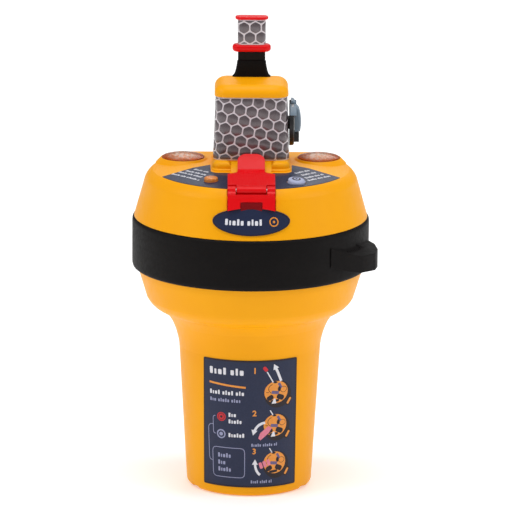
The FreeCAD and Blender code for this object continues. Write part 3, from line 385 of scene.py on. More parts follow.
class Print:
    """Thin closed shapes drawn flat as (across, up, lift) in mm, cut in strips, bent onto a surface."""

    def __init__(self):
        self.mesh = bmesh.new()

    def slab(self, outline, low, high, bevel=0.0):
        """A flat solid on an outline, whose top edge is drawn in by bevel."""
        if signed_area(outline) < 0:
            outline = outline[::-1]
        rings = [[(x, y, low) for x, y in outline]]
        if bevel:
            rings.append([(x, y, high - bevel * 0.5) for x, y in outline])
            rings.append([(x, y, high) for x, y in drawn_in(outline, bevel)])
        else:
            rings.append([(x, y, high) for x, y in outline])
        loops = [[self.mesh.verts.new(point) for point in ring] for ring in rings]
        for lower, upper in zip(loops, loops[1:]):
            join(self.mesh, lower, upper)
        self.mesh.faces.new(loops[0][::-1])
        self.mesh.faces.new(loops[-1])

    def band(self, points, width, low, high, closed=False):
        """A line of even width through points."""
        count = len(points)
        left, right = [], []
        for i, (x, y) in enumerate(points):
            before = points[i - 1] if closed or i else points[0]
            after = points[(i + 1) % count] if closed or i < count - 1 else points[-1]
            across = Vector((before[1] - after[1], after[0] - before[0])).normalized() * width / 2
            left.append((x + across.x, y + across.y))
            right.append((x - across.x, y - across.y))
        if not closed:
            self.slab(right + left[::-1], low, high)
            return
        verts = [[self.mesh.verts.new((x, y, z)) for x, y in side]
                 for side, z in ((left, low), (left, high), (right, high), (right, low))]
        for side, following in zip(verts, verts[1:] + verts[:1]):
            join(self.mesh, side, following)

    def text(self, word, x, y, tall, low, high):
        """Numerals, from the built-in face."""
        curve = bpy.data.curves.new("numeral", "FONT")
        curve.body = word
        curve.offset = 0.028
        holder = placed("numeral", curve)
        bpy.context.view_layer.update()
        ready = holder.evaluated_get(bpy.context.evaluated_depsgraph_get())
        flat = bpy.data.meshes.new_from_object(ready)
        xs = [v.co.x for v in flat.vertices]
        ys = [v.co.y for v in flat.vertices]
        scale = tall / (max(ys) - min(ys))
        middle = (max(xs) + min(xs)) / 2
        bottom = [self.mesh.verts.new((x + (a - middle) * scale, y + (b - min(ys)) * scale, low))
                  for a, b in zip(xs, ys)]
        top = [self.mesh.verts.new((v.co.x, v.co.y, high)) for v in bottom]
        uses = {}
        for face in flat.polygons:
            ring = list(face.vertices)
            if face.normal.z < 0:
                ring = ring[::-1]
            self.mesh.faces.new([top[i] for i in ring])
            self.mesh.faces.new([bottom[i] for i in ring[::-1]])
            for a, b in zip(ring, ring[1:] + ring[:1]):
                uses.setdefault(frozenset((a, b)), []).append((a, b))
        for sides in uses.values():
            if len(sides) == 1:
                a, b = sides[0]
                self.mesh.faces.new((bottom[a], bottom[b], top[b], top[a]))
        bpy.data.objects.remove(holder)
        bpy.data.curves.remove(curve)
        bpy.data.meshes.remove(flat)

    def cut(self, xs, ys=()):
        """Split every face along upright and level lines, so that it can bend."""
        for index, places in ((0, xs), (1, ys)):
            for place in places:
                point, normal = [0, 0, 0], [0, 0, 0]
                point[index], normal[index] = place, 1
                parts = self.mesh.verts[:] + self.mesh.edges[:] + self.mesh.faces[:]
                bmesh.ops.bisect_plane(self.mesh, geom=parts, plane_co=point, plane_no=normal,
                                       dist=1e-5)

    def finish(self, name, material, bend, body="casing", slot="navy_film", smooth=None, node=None):
        """Bend the shapes onto a surface and make a piece of them."""
        for vert in self.mesh.verts:
            vert.co = bend(*vert.co) * MM
        bmesh.ops.recalc_face_normals(self.mesh, faces=self.mesh.faces)
        piece(name, self.mesh, material, body, smooth, node)


def piece(name, mesh, material, body, smooth, node=None):
    """Make an object of a bmesh in frame metres; it may replace CAD nodes, and rides on its body
    unless that is None, as for the antenna strip."""
    data = bpy.data.meshes.new(name)
    mesh.to_mesh(data)
    mesh.free()
    data.materials.append(material)
    made = placed(name, data)
    if smooth:
        data.polygons.foreach_set("use_smooth", [True] * len(data.polygons))
        data.set_sharp_from_angle(angle=math.radians(smooth))
    if body:
        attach(made, body)
    if node:
        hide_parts(*node)
    return made


def signed_area(outline):
    """Above 0 where the outline runs counter-clockwise."""
    return sum(ax * by - bx * ay for (ax, ay), (bx, by) in zip(outline, outline[1:] + outline[:1])) / 2


def drawn_in(outline, amount):
    """An outline moved inwards by amount; it runs counter-clockwise."""
    moved = []
    count = len(outline)
    for i, (x, y) in enumerate(outline):
        before, after = Vector(outline[i - 1]), Vector(outline[(i + 1) % count])
        here = Vector((x, y))
        first, second = (here - before).normalized(), (after - here).normalized()
        normal = Vector((-first.y - second.y, first.x + second.x))
        if normal.length < 1e-6:
            moved.append((x, y))
            continue
        normal.normalize()
        lean = max(0.4, normal.dot(Vector((-first.y, first.x))))
        moved.append((x + normal.x * amount / lean, y + normal.y * amount / lean))
    return moved


def clipped(outline, low_x, low_y, high_x, high_y):
    """The part of a convex outline inside a rectangle."""
    for index, limit, side in ((0, low_x, 1), (0, high_x, -1), (1, low_y, 1), (1, high_y, -1)):
        kept = []
        for a, b in zip(outline, outline[1:] + outline[:1]):
            inside_a, inside_b = (a[index] - limit) * side >= 0, (b[index] - limit) * side >= 0
            if inside_a:
                kept.append(a)
            if inside_a != inside_b:
                share = (limit - a[index]) / (b[index] - a[index])
                kept.append(tuple(p + (q - p) * share for p, q in zip(a, b)))
        outline = kept
        if len(outline) < 3:
            return []
    return outline


def rounded(outline, radius, steps=3):
    """Corners of a convex outline rounded by curves that start radius away from them."""
    result = []
    count = len(outline)
    for i in range(count):
        here = Vector(outline[i])
        before, after = Vector(outline[i - 1]), Vector(outline[(i + 1) % count])
        back, on = before - here, after - here
        start = here + back * min(0.48, radius / max(back.length, 1e-6))
        end = here + on * min(0.48, radius / max(on.length, 1e-6))
        for k in range(steps + 1):
            t = k / steps
            point = start * (1 - t) ** 2 + here * 2 * t * (1 - t) + end * t ** 2
            result.append((point.x, point.y))
    return result


def oblong(x, y, wide, tall, corner, turn=0.0):
    """A rounded rectangle about its centre."""
    half_w, half_t = wide / 2, tall / 2
    corners = [(-half_w, -half_t), (half_w, -half_t), (half_w, half_t), (-half_w, half_t)]
    c, s = math.cos(turn), math.sin(turn)
    return [(x + px * c - py * s, y + px * s + py * c) for px, py in rounded(corners, corner)]


def disc(x, y, across, tall=None, count=28, start=0.0, sweep=2 * math.pi):
    """Points round a circle or an ellipse, or along an arc of it."""
    tall = tall or across
    steps = count if sweep >= 2 * math.pi - 1e-6 else count + 1
    return [(x + across / 2 * math.cos(start + sweep * i / count),
             y + tall / 2 * math.sin(start + sweep * i / count)) for i in range(steps)]


def marks(low, high, step=1.0):
    """Evenly spaced places from low to high."""
    return [low + step * i for i in range(int((high - low) / step) + 1)]


# ---------------------------------------------------------------- honeycomb tape

def honeycomb(pitch, turn, phase, box, border, gap):
    """Rounded hexagon outlines that fill a box of the unrolled tape."""
    low_x, low_y, high_x, high_y = box
    inner = (low_x + border, low_y + border, high_x - border, high_y - border)
    row = pitch * math.sqrt(3) / 2
    reach = math.hypot(high_x - low_x, high_y - low_y)
    count = int(reach / row) + 2
    radius = (pitch - gap) / math.sqrt(3)
    c, s = math.cos(turn), math.sin(turn)
    cells = []
    for j in range(-count, count + 1):
        for i in range(-count, count + 1):
            across, up = (i + 0.5 * (j % 2)) * pitch, j * row
            x, y = phase[0] + across * c - up * s, phase[1] + across * s + up * c
            outline = [(x + radius * math.cos(turn + math.radians(30 + 60 * k)),
                        y + radius * math.sin(turn + math.radians(30 + 60 * k))) for k in range(6)]
            outline = clipped(outline, *inner)
            if outline and signed_area(outline) > 0.35:
                cells.append(rounded(outline, pitch * 0.13))
    return cells


class Wrap:
    """Bends a flat strip round an upright rounded box that may taper; 0 is the middle of the front."""

    def __init__(self, centre_y, low_z, high_z, low_half, high_half, corner):
        self.y, self.low_z, self.high_z = centre_y, low_z, high_z
        self.low_half, self.high_half, self.corner = low_half, high_half, corner
        wide, deep = [(a + b) / 2 for a, b in zip(low_half, high_half)]
        self.runs = [wide - corner, corner * math.pi / 2, 2 * (deep - corner),
                     corner * math.pi / 2, wide - corner]
        self.half_length = sum(self.runs)

    def bends(self, step):
        """Places across the strip where its faces are split."""
        places, start = [], 0.0
        for run, curved in zip(self.runs, (0, 1, 0, 1, 0)):
            cuts = max(1, round(run / step)) if curved else 1
            places += [start + run * k / cuts for k in range(cuts)]
            start += run
        return [side * place for place in places for side in (-1, 1)]

    def __call__(self, across, z, lift):
        share = (z - self.low_z) / (self.high_z - self.low_z)
        wide, deep = [a + (b - a) * share for a, b in zip(self.low_half, self.high_half)]
        side, rest = math.copysign(1, across), abs(across)
        r = self.corner
        for index, run in enumerate(self.runs):
            if rest <= run or index == 4:
                break
            rest -= run
        t = rest / run
        if index == 0:
            x, y = t * (wide - r), -deep - lift
        elif index == 1:
            x = wide - r + (r + lift) * math.sin(t * math.pi / 2)
            y = -(deep - r) - (r + lift) * math.cos(t * math.pi / 2)
        elif index == 2:
            x, y = wide + lift, (2 * t - 1) * (deep - r)
        elif index == 3:
            x = wide - r + (r + lift) * math.cos(t * math.pi / 2)
            y = deep - r + (r + lift) * math.sin(t * math.pi / 2)
        else:
            x, y = (1 - t) * (wide - r), deep + lift
        return Vector((side * x, self.y + y, z))


def tape_wrap(name, wrap, low_z, high_z, pitch, turn, phase, node, body):
    """A pale backing strip with dark raised cells, wound once round; its ends meet at the back."""
    thick = 0.2
    half = wrap.half_length - 0.12
    backing = Print()
    backing.slab(rounded([(-half, low_z), (half, low_z), (half, high_z), (-half, high_z)], 0.6),
                 0.01, thick - 0.07, 0.03)
    backing.cut(xs=wrap.bends(0.7), ys=marks(low_z + 3, high_z, 6))
    backing.finish(name + "_backing", finishes["reflective_tape"], wrap, body, "reflective_tape",
                   smooth=30, node=[node])
    cells = Print()
    box = (-half, low_z, half, high_z)
    for outline in honeycomb(pitch, math.radians(turn), phase, box, 0.35, 0.5):
        cells.slab(outline, thick - 0.09, thick, 0.06)
    cells.cut(xs=wrap.bends(0.7))
    cells.finish(name + "_cells", inks["cell"], wrap, body, "reflective_tape", smooth=30)


tape_low, tape_high = box_mm("tower_reflector")
tower_wrap = Wrap(4.0, 122.7, 149.8, (14.2, 11.4), (13.2, 10.8), 4.0)
tape_wrap("tower_tape", tower_wrap, tape_low.z, tape_high.z, 4.47, -8.5, (1.69, 140.2),
          "tower_reflector", "casing")
sleeve_low, sleeve_high = box_mm("antenna_reflector")
sleeve_half = (5.07, 2.02)
sleeve_wrap = Wrap(ANTENNA_Y, sleeve_low.z, sleeve_high.z, sleeve_half, sleeve_half, 1.7)
tape_wrap("sleeve_tape", sleeve_wrap, sleeve_low.z, sleeve_high.z, 4.33, 1.0, (1.39, 173.2),
          "antenna_reflector", "antenna")


# ---------------------------------------------------------------- printed graphics

# Thickness of a film, and the (height, radius) pairs that give the neck's and the wall's taper.
FILM, BADGE = 0.2, 0.45
NECK_LOW, NECK_HIGH, NECK_MEAN = (2.0, 23.6), (54.0, 26.65), 25.4
WALL_LOW, WALL_HIGH, WALL_MEAN = (103.6, 43.8), (117.8, 39.8), 41.9
# The dome's top is level at TOP_Z out to TOP_FLAT, and has fallen to EDGE_Z at EDGE_RADIUS.
TOP_Z, TOP_FLAT, EDGE_Z, EDGE_RADIUS = 122.7, 22.5, 121.3, 36.9
# Each ink lies on its film from 0 up to its lift; a thicker one covers a thinner one.
THIN, PLAIN, THICK, PATCH, ARROW = [(0.0, lift) for lift in (0.03, 0.04, 0.05, 0.08, 0.09)]


def cone(z, low, high):
    """The radius at height z on the taper between two (height, radius) pairs."""
    return low[1] + (z - low[0]) * (high[1] - low[1]) / (high[0] - low[0])


def on_front(radius, turn, z):
    """A point on an upright round wall, turned from the middle of the front."""
    return Vector((radius * math.sin(turn), -radius * math.cos(turn), z))


def on_neck(across, z, lift):
    """The front of the tapered neck; across is measured along the film at its mean radius."""
    return on_front(cone(z, NECK_LOW, NECK_HIGH) + FILM + lift, across / NECK_MEAN, z)


def on_film(across, z, lift):
    """A flat film wrapped on the neck, so it keeps its width from top to bottom."""
    radius = cone(z, NECK_LOW, NECK_HIGH)
    return on_front(radius + lift, (across + 0.15) / (radius + FILM), z)


def on_wall(across, z, lift):
    """The badge on the dome's sloping wall."""
    return on_front(cone(z, WALL_LOW, WALL_HIGH) + BADGE + lift, across / WALL_MEAN, z)


def on_top(x, y, lift):
    """The film on the dome's top, level in the middle and falling away outside it."""
    fall = max(0.0, math.hypot(x, y) - TOP_FLAT) * (TOP_Z - EDGE_Z) / (EDGE_RADIUS - TOP_FLAT)
    return Vector((x, y, TOP_Z - fall + FILM + lift))


def greeked(sheet, start, end, tall, low, high, words):
    """A row of plain upright blocks, grouped like words, that stands in for lettering."""
    start, end = Vector(start), Vector(end)
    length = (end - start).length
    turn = math.atan2(end.y - start.y, end.x - start.x)
    along = (end - start).normalized()
    up = Vector((-along.y, along.x))
    done, count, word = 0.0, 0, 0
    while True:
        wide = tall * (0.46, 0.3, 0.52, 0.38, 0.46)[count % 5]
        if done + wide > length:
            return
        rise = tall * (1.0, 0.74, 0.74, 1.0, 0.74)[(count + 2 * word) % 5]
        middle = start + along * (done + wide / 2) + up * (rise / 2)
        sheet.slab(oblong(middle.x, middle.y, wide, rise, wide * 0.3, turn), low, high)
        done += wide + tall * 0.24
        count += 1
        if count >= words[word % len(words)]:
            count, word, done = 0, word + 1, done + tall * 0.4


def arrow(sheet, points, low, high):
    """A line through points that ends in a triangular head at the last of them."""
    width, head = 0.95, 2.1
    tip, before = Vector(points[-1]), Vector(points[-2])
    along = (tip - before).normalized()
    side = Vector((-along.y, along.x)) * head * 0.55
    neck = tip - along * head
    sheet.band(points[:-1] + [tuple(neck)], width, low, high)
    sheet.slab([tuple(tip), tuple(neck + side), tuple(neck - side)], low, high)


def curve_points(a, b, c, steps=8):
    """Points on a smooth curve from a to c that is pulled towards b."""
    a, b, c = Vector(a), Vector(b), Vector(c)
    return [tuple(a * (1 - t) ** 2 + b * 2 * t * (1 - t) + c * t ** 2)
            for t in [i / steps for i in range(steps + 1)]]


def pictogram(dark, orange, violet, pale, x, z, triangle):
    """The unit seen from above at a slant: dark rim, orange top, well, patches and lens ring."""
    dark.slab(disc(x + 0.35, z - 0.45, 10.8, 10.6), 0.0, 0.02)
    dark.slab(oblong(x + 4.9, z - 3.4, 1.9, 3.9, 0.7, -0.5), 0.0, 0.02)
    orange.slab(oblong(x + 5.0, z - 3.5, 0.9, 2.7, 0.4, -0.55), *THIN)
    orange.slab(disc(x - 0.35, z + 0.45, 9.3, 8.6), 0.0, 0.035)
    for across, up, wide, tall, corner, turn in ((-2.7, -1.7, 2.6, 1.9, 0.8, 0.5),
                                                 (1.3, -1.6, 3.0, 2.0, 0.8, -0.4),
                                                 (-0.9, -3.0, 3.4, 1.0, 0.4, 0.1)):
        dark.slab(oblong(x + across, z + up, wide, tall, corner, turn), *THICK)
    dark.band(disc(x + 2.5, z + 1.3, 2.5, 2.2), 0.16, *THICK, closed=True)
    dark.band(disc(x - 1.3, z + 1.8, 4.2, 3.6, start=1.9, sweep=2.4), 0.2, *THICK)
    dark.band([(x - 4.3, z + 0.5), (x - 3.3, z + 0.4)], 0.2, *THICK)
    violet.slab(oblong(x - 0.8, z + 0.3, 2.9, 1.2, 0.3, -0.12), 0.0, 0.06)
    violet.slab(oblong(x + 1.0, z + 2.9, 1.0, 2.3, 0.3, 0.5), 0.0, 0.06)
    dark.slab(disc(x + 0.75, z + 1.6, 1.2, 2.0), 0.0, 0.065)
    dark.slab(disc(x - 0.9, z + 4.3, 1.6, 0.8), *THICK)
    if triangle:
        pale.slab([(x - 2.1, z - 4.0), (x - 0.3, z - 4.0), (x - 0.7, z - 2.1), (x - 1.3, z - 2.1)],
                  0.0, 0.07)


def neck_graphics():
    """The navy film on the neck, its dark rim, and what is printed on it."""
    film, rim = Print(), Print()
    film.slab(oblong(0, 28.7, 38.0, 49.9, 0.6), -0.06, FILM)
    film.cut(xs=marks(-19, 19))
    film.finish("neck_film", finishes["navy_film"], on_film, slot="navy_film",
                node=["instruction_label"])
    rim.band(oblong(0, 28.7, 37.4, 49.3, 0.5), 0.6, 0.0, FILM + 0.03, closed=True)
    rim.cut(xs=marks(-19, 19))
    rim.finish("neck_print_rim", inks["dark"], on_film)
    sheets = {name: Print() for name in ("pale", "orange", "dark", "red", "pink", "violet", "line")}
    pale, orange, dark, red, pink, violet, line = sheets.values()
    for sheet, start, end, z, tall, ink, words in (
            (pale, -15.2, -1.6, 47.8, 2.7, PLAIN, (4, 3)),
            (pale, -15.4, -1.4, 39.9, 1.7, PLAIN, (4, 4, 3)),
            (line, -15.4, -2.4, 37.1, 1.4, THIN, (3, 5, 4)),
            (pale, -8.0, -4.0, 31.4, 1.6, PLAIN, (3,)), (pale, -8.0, -2.6, 28.8, 1.6, PLAIN, (6,)),
            (pale, -8.1, -1.6, 23.4, 1.6, PLAIN, (7,)), (line, -12.6, -5.6, 15.2, 1.7, THIN, (5,)),
            (line, -12.6, -9.1, 12.4, 1.7, THIN, (5,)), (line, -12.6, -6.0, 9.7, 1.7, THIN, (5,)),
            (line, 0.7, 11.2, 19.9, 1.2, THIN, (5, 5)), (line, 0.6, 9.9, 5.4, 1.2, THIN, (4, 4))):
        greeked(sheet, (start, z), (end, z), tall, *ink, words=words)
    orange.band(curve_points((-15.5, 44.4), (-8.6, 43.7), (-1.5, 43.1)), 0.75, *PLAIN)
    for sheet, across, lift in ((red, 3.5, 0.03), (dark, 2.7, 0.045), (red, 2.3, 0.05),
                                (dark, 1.0, 0.06)):
        sheet.slab(disc(-10.9, 31.2, across), 0.0, lift)
    line.band(disc(-11.1, 24.4, 3.1), 0.5, *THIN, closed=True)
    line.slab(disc(-11.1, 24.4, 1.5), *THIN)
    line.band(curve_points((-13.4, 31.3), (-14.4, 31.3), (-14.4, 30.2)) +
              curve_points((-14.4, 25.4), (-14.4, 24.3), (-13.4, 24.3)), 0.24, *THIN)
    line.band(curve_points((-14.5, 27.9), (-16.6, 27.9), (-16.6, 26.0)) +
              curve_points((-16.6, 15.4), (-16.6, 13.6), (-15.2, 13.6)), 0.24, *THIN)
    line.band(oblong(-8.4, 13.3, 13.1, 11.6, 1.7), 0.26, *THIN, closed=True)
    for numeral, z in (("1", 48.6), ("2", 31.9), ("3", 16.9)):
        orange.text(numeral, 1.8, z, 2.3, *PLAIN)
    for x, z, triangle in ((10.3, 40.6, True), (10.3, 27.6, True), (10.5, 12.8, False)):
        pictogram(dark, orange, violet, pale, x, z, triangle)
    pale.band([(8.6, 44.9), (6.2, 49.2)], 0.42, *PLAIN)
    red.slab(oblong(5.6, 50.3, 2.1, 1.3, 0.6, -0.9), *THICK)
    arrow(pale, [(11.7, 45.2), (10.4, 48.4), (8.7, 52.1)], *THICK)
    for x, z in ((7.7, 34.0), (7.8, 19.1)):
        pale.band([(x, z), (x + 1.2, z - 2.0)], 0.4, *THICK)
    pink.slab([(7.2, 27.9), (8.5, 27.0), (7.4, 25.2), (4.2, 22.4), (3.3, 23.2), (4.0, 25.2),
               (5.6, 26.6)], *PATCH)
    arrow(pale, curve_points((5.8, 29.3), (2.2, 28.8), (1.3, 24.4)), *ARROW)
    for i in range(3):
        pink.slab(oblong(7.5 - 1.5 * i, 13.5 - 0.55 * i, 1.25, 2.5, 0.45, 0.35), *PATCH)
    arrow(pale, curve_points((4.2, 8.7), (1.9, 10.4), (2.2, 14.9)), *ARROW)
    for name, sheet in sheets.items():
        sheet.cut(xs=marks(-17, 17))
        sheet.finish("neck_print_" + name, inks[name], on_neck)


def badge_graphics():
    """A row of blocks and a plain ring on the oval badge, and its rim."""
    pale, orange, rim = Print(), Print(), Print()
    greeked(pale, (-9.6, 109.2), (4.9, 109.2), 2.2, *PLAIN, words=(5, 4))
    orange.slab(disc(8.3, 110.4, 0.9), *THICK)
    orange.band(disc(8.3, 110.4, 3.0), 0.4, *THICK, closed=True)
    rim.band(disc(0, 110.4, 28.0, 9.25, count=72), 0.22, *THIN, closed=True)
    for name, sheet in (("pale", pale), ("orange", orange)):
        sheet.cut(xs=marks(-10, 10))
        sheet.finish("badge_print_" + name, inks[name], on_wall)
    rim.finish("badge_print_rim", inks["dark"], on_wall)


def top_graphics():
    """Rows of blocks beside the keys, four on each side."""
    rows = Print()
    for start, end in (((-21.6, -9.5), (-15.8, -15.3)), ((-24.6, -10.7), (-17.3, -18.5)),
                       ((-27.2, -11.6), (-18.6, -21.2)), ((-29.8, -13.6), (-19.6, -24.8)),
                       ((16.9, -15.6), (22.2, -9.9)), ((19.3, -17.6), (24.4, -12.2)),
                       ((20.6, -20.9), (27.6, -13.5)), ((21.6, -23.8), (30.1, -15.1))):
        greeked(rows, start, end, 1.35, *PLAIN, words=(5, 3, 6))
    rows.finish("top_print_text", inks["pale"], on_top)


neck_graphics()
badge_graphics()
top_graphics()


# ---------------------------------------------------------------- turned and moulded pieces

def lathe(name, profile, centre, material, body, steps=72, start=0.0, sweep=360.0, axis="Z",
          smooth=35, node=None, shape=None):
    """A closed outline of (radius, height) in mm, turned about an upright line or one along X."""
    mesh = bmesh.new()
    full = sweep >= 359.9
    rings = []
    for i in range(steps if full else steps + 1):
        turn = math.radians(start + sweep * i / steps)
        ring = []
        for radius, height in profile:
            if axis == "Z":
                point = Vector((radius * math.sin(turn), -radius * math.cos(turn), height))
            else:
                point = Vector((height, -radius * math.sin(turn), radius * math.cos(turn)))
            if shape:
                point = shape(point)
            ring.append(mesh.verts.new((point + Vector(centre)) * MM))
        rings.append(ring)
    count = len(profile)
    for i in range(steps):
        a, b = rings[i], rings[(i + 1) % len(rings)]
        for j in range(count):
            k = (j + 1) % count
            mesh.faces.new((a[j], b[j], b[k], a[k]))
    if not full:
        mesh.faces.new(rings[0])
        mesh.faces.new(rings[-1][::-1])
    bmesh.ops.remove_doubles(mesh, verts=mesh.verts, dist=1e-7)
    bmesh.ops.recalc_face_normals(mesh, faces=mesh.faces)
    piece(name, mesh, material, body, smooth, node)


def crown(radius):
    """How far the lens has dropped from its middle."""
    ball = 36.0
    return (ball - math.sqrt(ball ** 2 - radius ** 2)) * 1.5


def facets(point):
    """Twelve soft waves round the bowl, deeper towards its rim."""
    turn = math.atan2(point.x, -point.y)
    radius = math.hypot(point.x, point.y)
    return point + Vector((0, 0, 0.22 * math.sin(turn * 12) * radius / 6.3))


def strobe_light(side, x):
    """Thin clear dome with fine inner rings, an amber collar under it and a faceted bowl."""
    centre = (x, LENS_Y, 121.1)
    outer = [(7.5, 1.0), (7.5, 2.3), (7.9, 2.4), (7.85, 2.6)]
    outer += [(7.6 * i / 9, 4.0 - crown(7.6 * i / 9)) for i in range(9, -1, -1)]
    inner = [(7.0 * i / 14, 3.1 - crown(7.0 * i / 14) - 0.12 * (i % 2)) for i in range(15)]
    lathe("strobe_dome_" + side, outer + inner + [(7.2, 1.9), (7.2, 1.0)], centre,
          finishes["clear_lens"], "casing", steps=64, smooth=20,
          node=["strobe_lens_" + side])
    collar = [(6.6, 0.05), (7.95, 0.05), (7.95, 2.25), (7.6, 2.25), (7.55, 0.9), (6.6, 0.9)]
    lathe("strobe_collar_" + side, collar, centre, finishes["collar"], "casing",
          steps=64)
    bowl = [(1.8, -3.6), (3.0, -3.2), (4.2, -2.3), (5.2, -1.2), (6.2, 0.3), (6.4, 0.1), (5.3, -1.5),
            (4.2, -2.6), (3.0, -3.5), (1.8, -3.9)]
    lathe("strobe_bowl_" + side, bowl, centre, finishes["bowl"], "casing",
          smooth=12, node=["strobe_reflector_" + side], shape=facets)
    lamp = [(0.0, -3.7), (1.9, -3.7), (1.9, -2.8), (1.3, -2.1), (0.6, -1.8), (0.0, -1.7)]
    lathe("strobe_lamp_" + side, lamp, centre, finishes["lamp"], "casing", steps=32)


strobe_light("left", -LENS_X)
strobe_light("right", LENS_X)


def boot():
    """Soft black boot that the blade leaves through; it flares onto the cap."""
    levels = [(154.25, 7.2, 1.7), (154.5, 7.2, 1.7), (154.75, 6.95, 1.65), (155.1, 6.6, 1.6),
              (155.8, 6.25, 1.5), (156.8, 5.95, 1.4), (158.0, 5.7, 1.25), (159.2, 5.5, 1.05),
              (160.1, 5.42, 0.85), (160.35, 5.35, 0.7), (160.3, 5.28, 0.5), (158.4, 5.26, 0.4),
              (154.4, 5.26, 0.4)]
    mesh = bmesh.new()
    rings = []
    for z, wide, deep in levels:
        corners = [(-wide, -deep), (wide, -deep), (wide, deep), (-wide, deep)]
        rings.append([mesh.verts.new(Vector((x, ANTENNA_Y + y, z)) * MM)
                      for x, y in rounded(corners, deep * 0.95, steps=5)])
    for a, b in zip(rings, rings[1:] + rings[:1]):
        join(mesh, a, b)
    bmesh.ops.recalc_face_normals(mesh, faces=mesh.faces)
    piece("antenna_boot", mesh, finishes["black_rubber"], "casing", 40,
          ["antenna_grommet"])


def blade():
    """Sprung steel strip with a hollow section, bowed forward above the boot, with close rows just
    above it; it rides on no body.
    """
    low, high = box_mm("antenna_blade")
    first, last = 160.4, 163.2
    stretch = [first + (last - first) * i / 40 for i in range(41)]
    levels = [low.z, 150.0, 156.0, 159.4] + stretch + [high.z]
    columns, half = 14, 5.12
    mesh = bmesh.new()
    sheets = []
    for depth in (-0.15, 0.15):
        grid = []
        for z in levels:
            bow = 0.55 * min(1.0, max(0.0, (z - 159.6) / 1.0))
            row = []
            for i in range(columns + 1):
                x = -half + 2 * half * i / columns
                y = ANTENNA_Y + depth - bow * (1 - (x / half) ** 2) + bow * 0.5
                row.append(mesh.verts.new(Vector((x, y, z)) * MM))
            grid.append(row)
        sheets.append(grid)
    for grid in sheets:
        for a, b in zip(grid, grid[1:]):
            for i in range(columns):
                mesh.faces.new((a[i], a[i + 1], b[i + 1], b[i]))
    rims, mates = [[[row[0] for row in grid], [row[-1] for row in grid], grid[0], grid[-1]]
                   for grid in sheets]
    for rim, mate in zip(rims, mates):
        for i in range(len(rim) - 1):
            mesh.faces.new((rim[i], rim[i + 1], mate[i + 1], mate[i]))
    bmesh.ops.recalc_face_normals(mesh, faces=mesh.faces)
    strip = piece("antenna_strip", mesh, finishes["spring_steel"], None, 40,
                  ["antenna_blade"])
    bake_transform(strip)


boot()
blade()


def band_and_tab():
    """Rubber band with a soft rounded section, and the pull tab that leaves it at the right."""
    profile = [(42.55, 84.75), (42.9, 84.5), (43.7, 84.5), (44.2, 84.8), (44.45, 85.5), (44.5, 86.3),
               (44.5, 101.8), (44.42, 102.6), (44.15, 103.2), (43.7, 103.5), (42.9, 103.5),
               (42.55, 103.2)]
    lathe("rubber_band", profile, (0, 0, 0), finishes["black_rubber"], "casing",
          steps=160, smooth=50, node=["lanyard_band"])
    # Round the tab: (x, y, upper z, lower z).
    plan = [(29.6, -33.6, 98.4, 91.2), (35.2, -30.0, 95.8, 89.0), (41.0, -25.2, 93.5, 87.3),
            (46.4, -19.8, 93.5, 87.1), (47.5, -14.4, 93.9, 87.1), (46.4, -9.6, 94.8, 88.0),
            (42.9, -7.0, 96.2, 88.6), (40.5, -16.2, 97.6, 88.6), (36.2, -24.2, 99.2, 89.4),
            (31.6, -28.8, 100.4, 91.2)]
    mesh = bmesh.new()
    top = [mesh.verts.new(Vector((x, y, high)) * MM) for x, y, high, low in plan]
    bottom = [mesh.verts.new(Vector((x, y, low)) * MM) for x, y, high, low in plan]
    hub_top = mesh.verts.new(Vector((42.6, -17.8, 95.2)) * MM)
    hub_bottom = mesh.verts.new(Vector((42.6, -17.8, 87.4)) * MM)
    count = len(plan)
    for i in range(count):
        j = (i + 1) % count
        mesh.faces.new((bottom[i], bottom[j], top[j], top[i]))
        mesh.faces.new((top[i], top[j], hub_top))
        mesh.faces.new((bottom[j], bottom[i], hub_bottom))
    soft = [edge for edge in mesh.edges if edge.calc_face_angle(0) > math.radians(24)]
    bmesh.ops.bevel(mesh, geom=soft, offset=0.0011, segments=4, profile=0.5, affect="EDGES",
                    clamp_overlap=True)
    bmesh.ops.recalc_face_normals(mesh, faces=mesh.faces)
    surface = BVHTree.FromBMesh(mesh)

    def on_tab(x, y, lift):
        place = surface.ray_cast(Vector((x, y, 110)) * MM, Vector((0, 0, -1)))[0]
        return Vector((x, y, place.z / MM + lift))

    piece("band_tab", mesh, finishes["black_rubber"], "casing", 50)
    ribs = Print()
    radius = 45.5
    for i in range(8):
        turn = math.radians(-37.5 + 1.55 * i)
        x, y = radius * math.cos(turn), radius * math.sin(turn)
        ribs.slab(oblong(x, y, 0.5, 0.9, 0.18, turn - math.pi / 2), -0.3, 0.2, 0.1)
    ribs.finish("band_tab_ribs", finishes["black_rubber"], on_tab, slot="black_rubber")


band_and_tab()


def winder_ears():
    """Two grey ears on the winder's disc that carry the fold-out handle."""
    section = [(7.2, 14.25), (8.5, 14.25), (8.75, 14.5), (8.75, 16.65), (8.5, 16.9), (7.2, 16.9)]
    axis_point = (0, 4.0, 138.2)
    for name, start in (("winder_ear_front", 27.0), ("winder_ear_back", -61.0)):
        lathe(name, section, axis_point, finishes["grey_plastic"], "winder",
              steps=14, start=start, sweep=34.0, axis="X")


winder_ears()


def flap_slot():
    """Painted shade: a dark red sheet in the shallow slot low on the hinge base, standing for the shade
    that falls into it.
    """
    floor = Print()
    floor.slab(oblong(0, 115.7, 7.9, 3.5, 0.5), 0.0, 0.3, 0.1)
    floor.finish("flap_slot_painted_shade", finishes["slot"],
                 lambda x, z, lift: Vector((x, -40.75 - lift, z)), slot="red_plastic")


flap_slot()


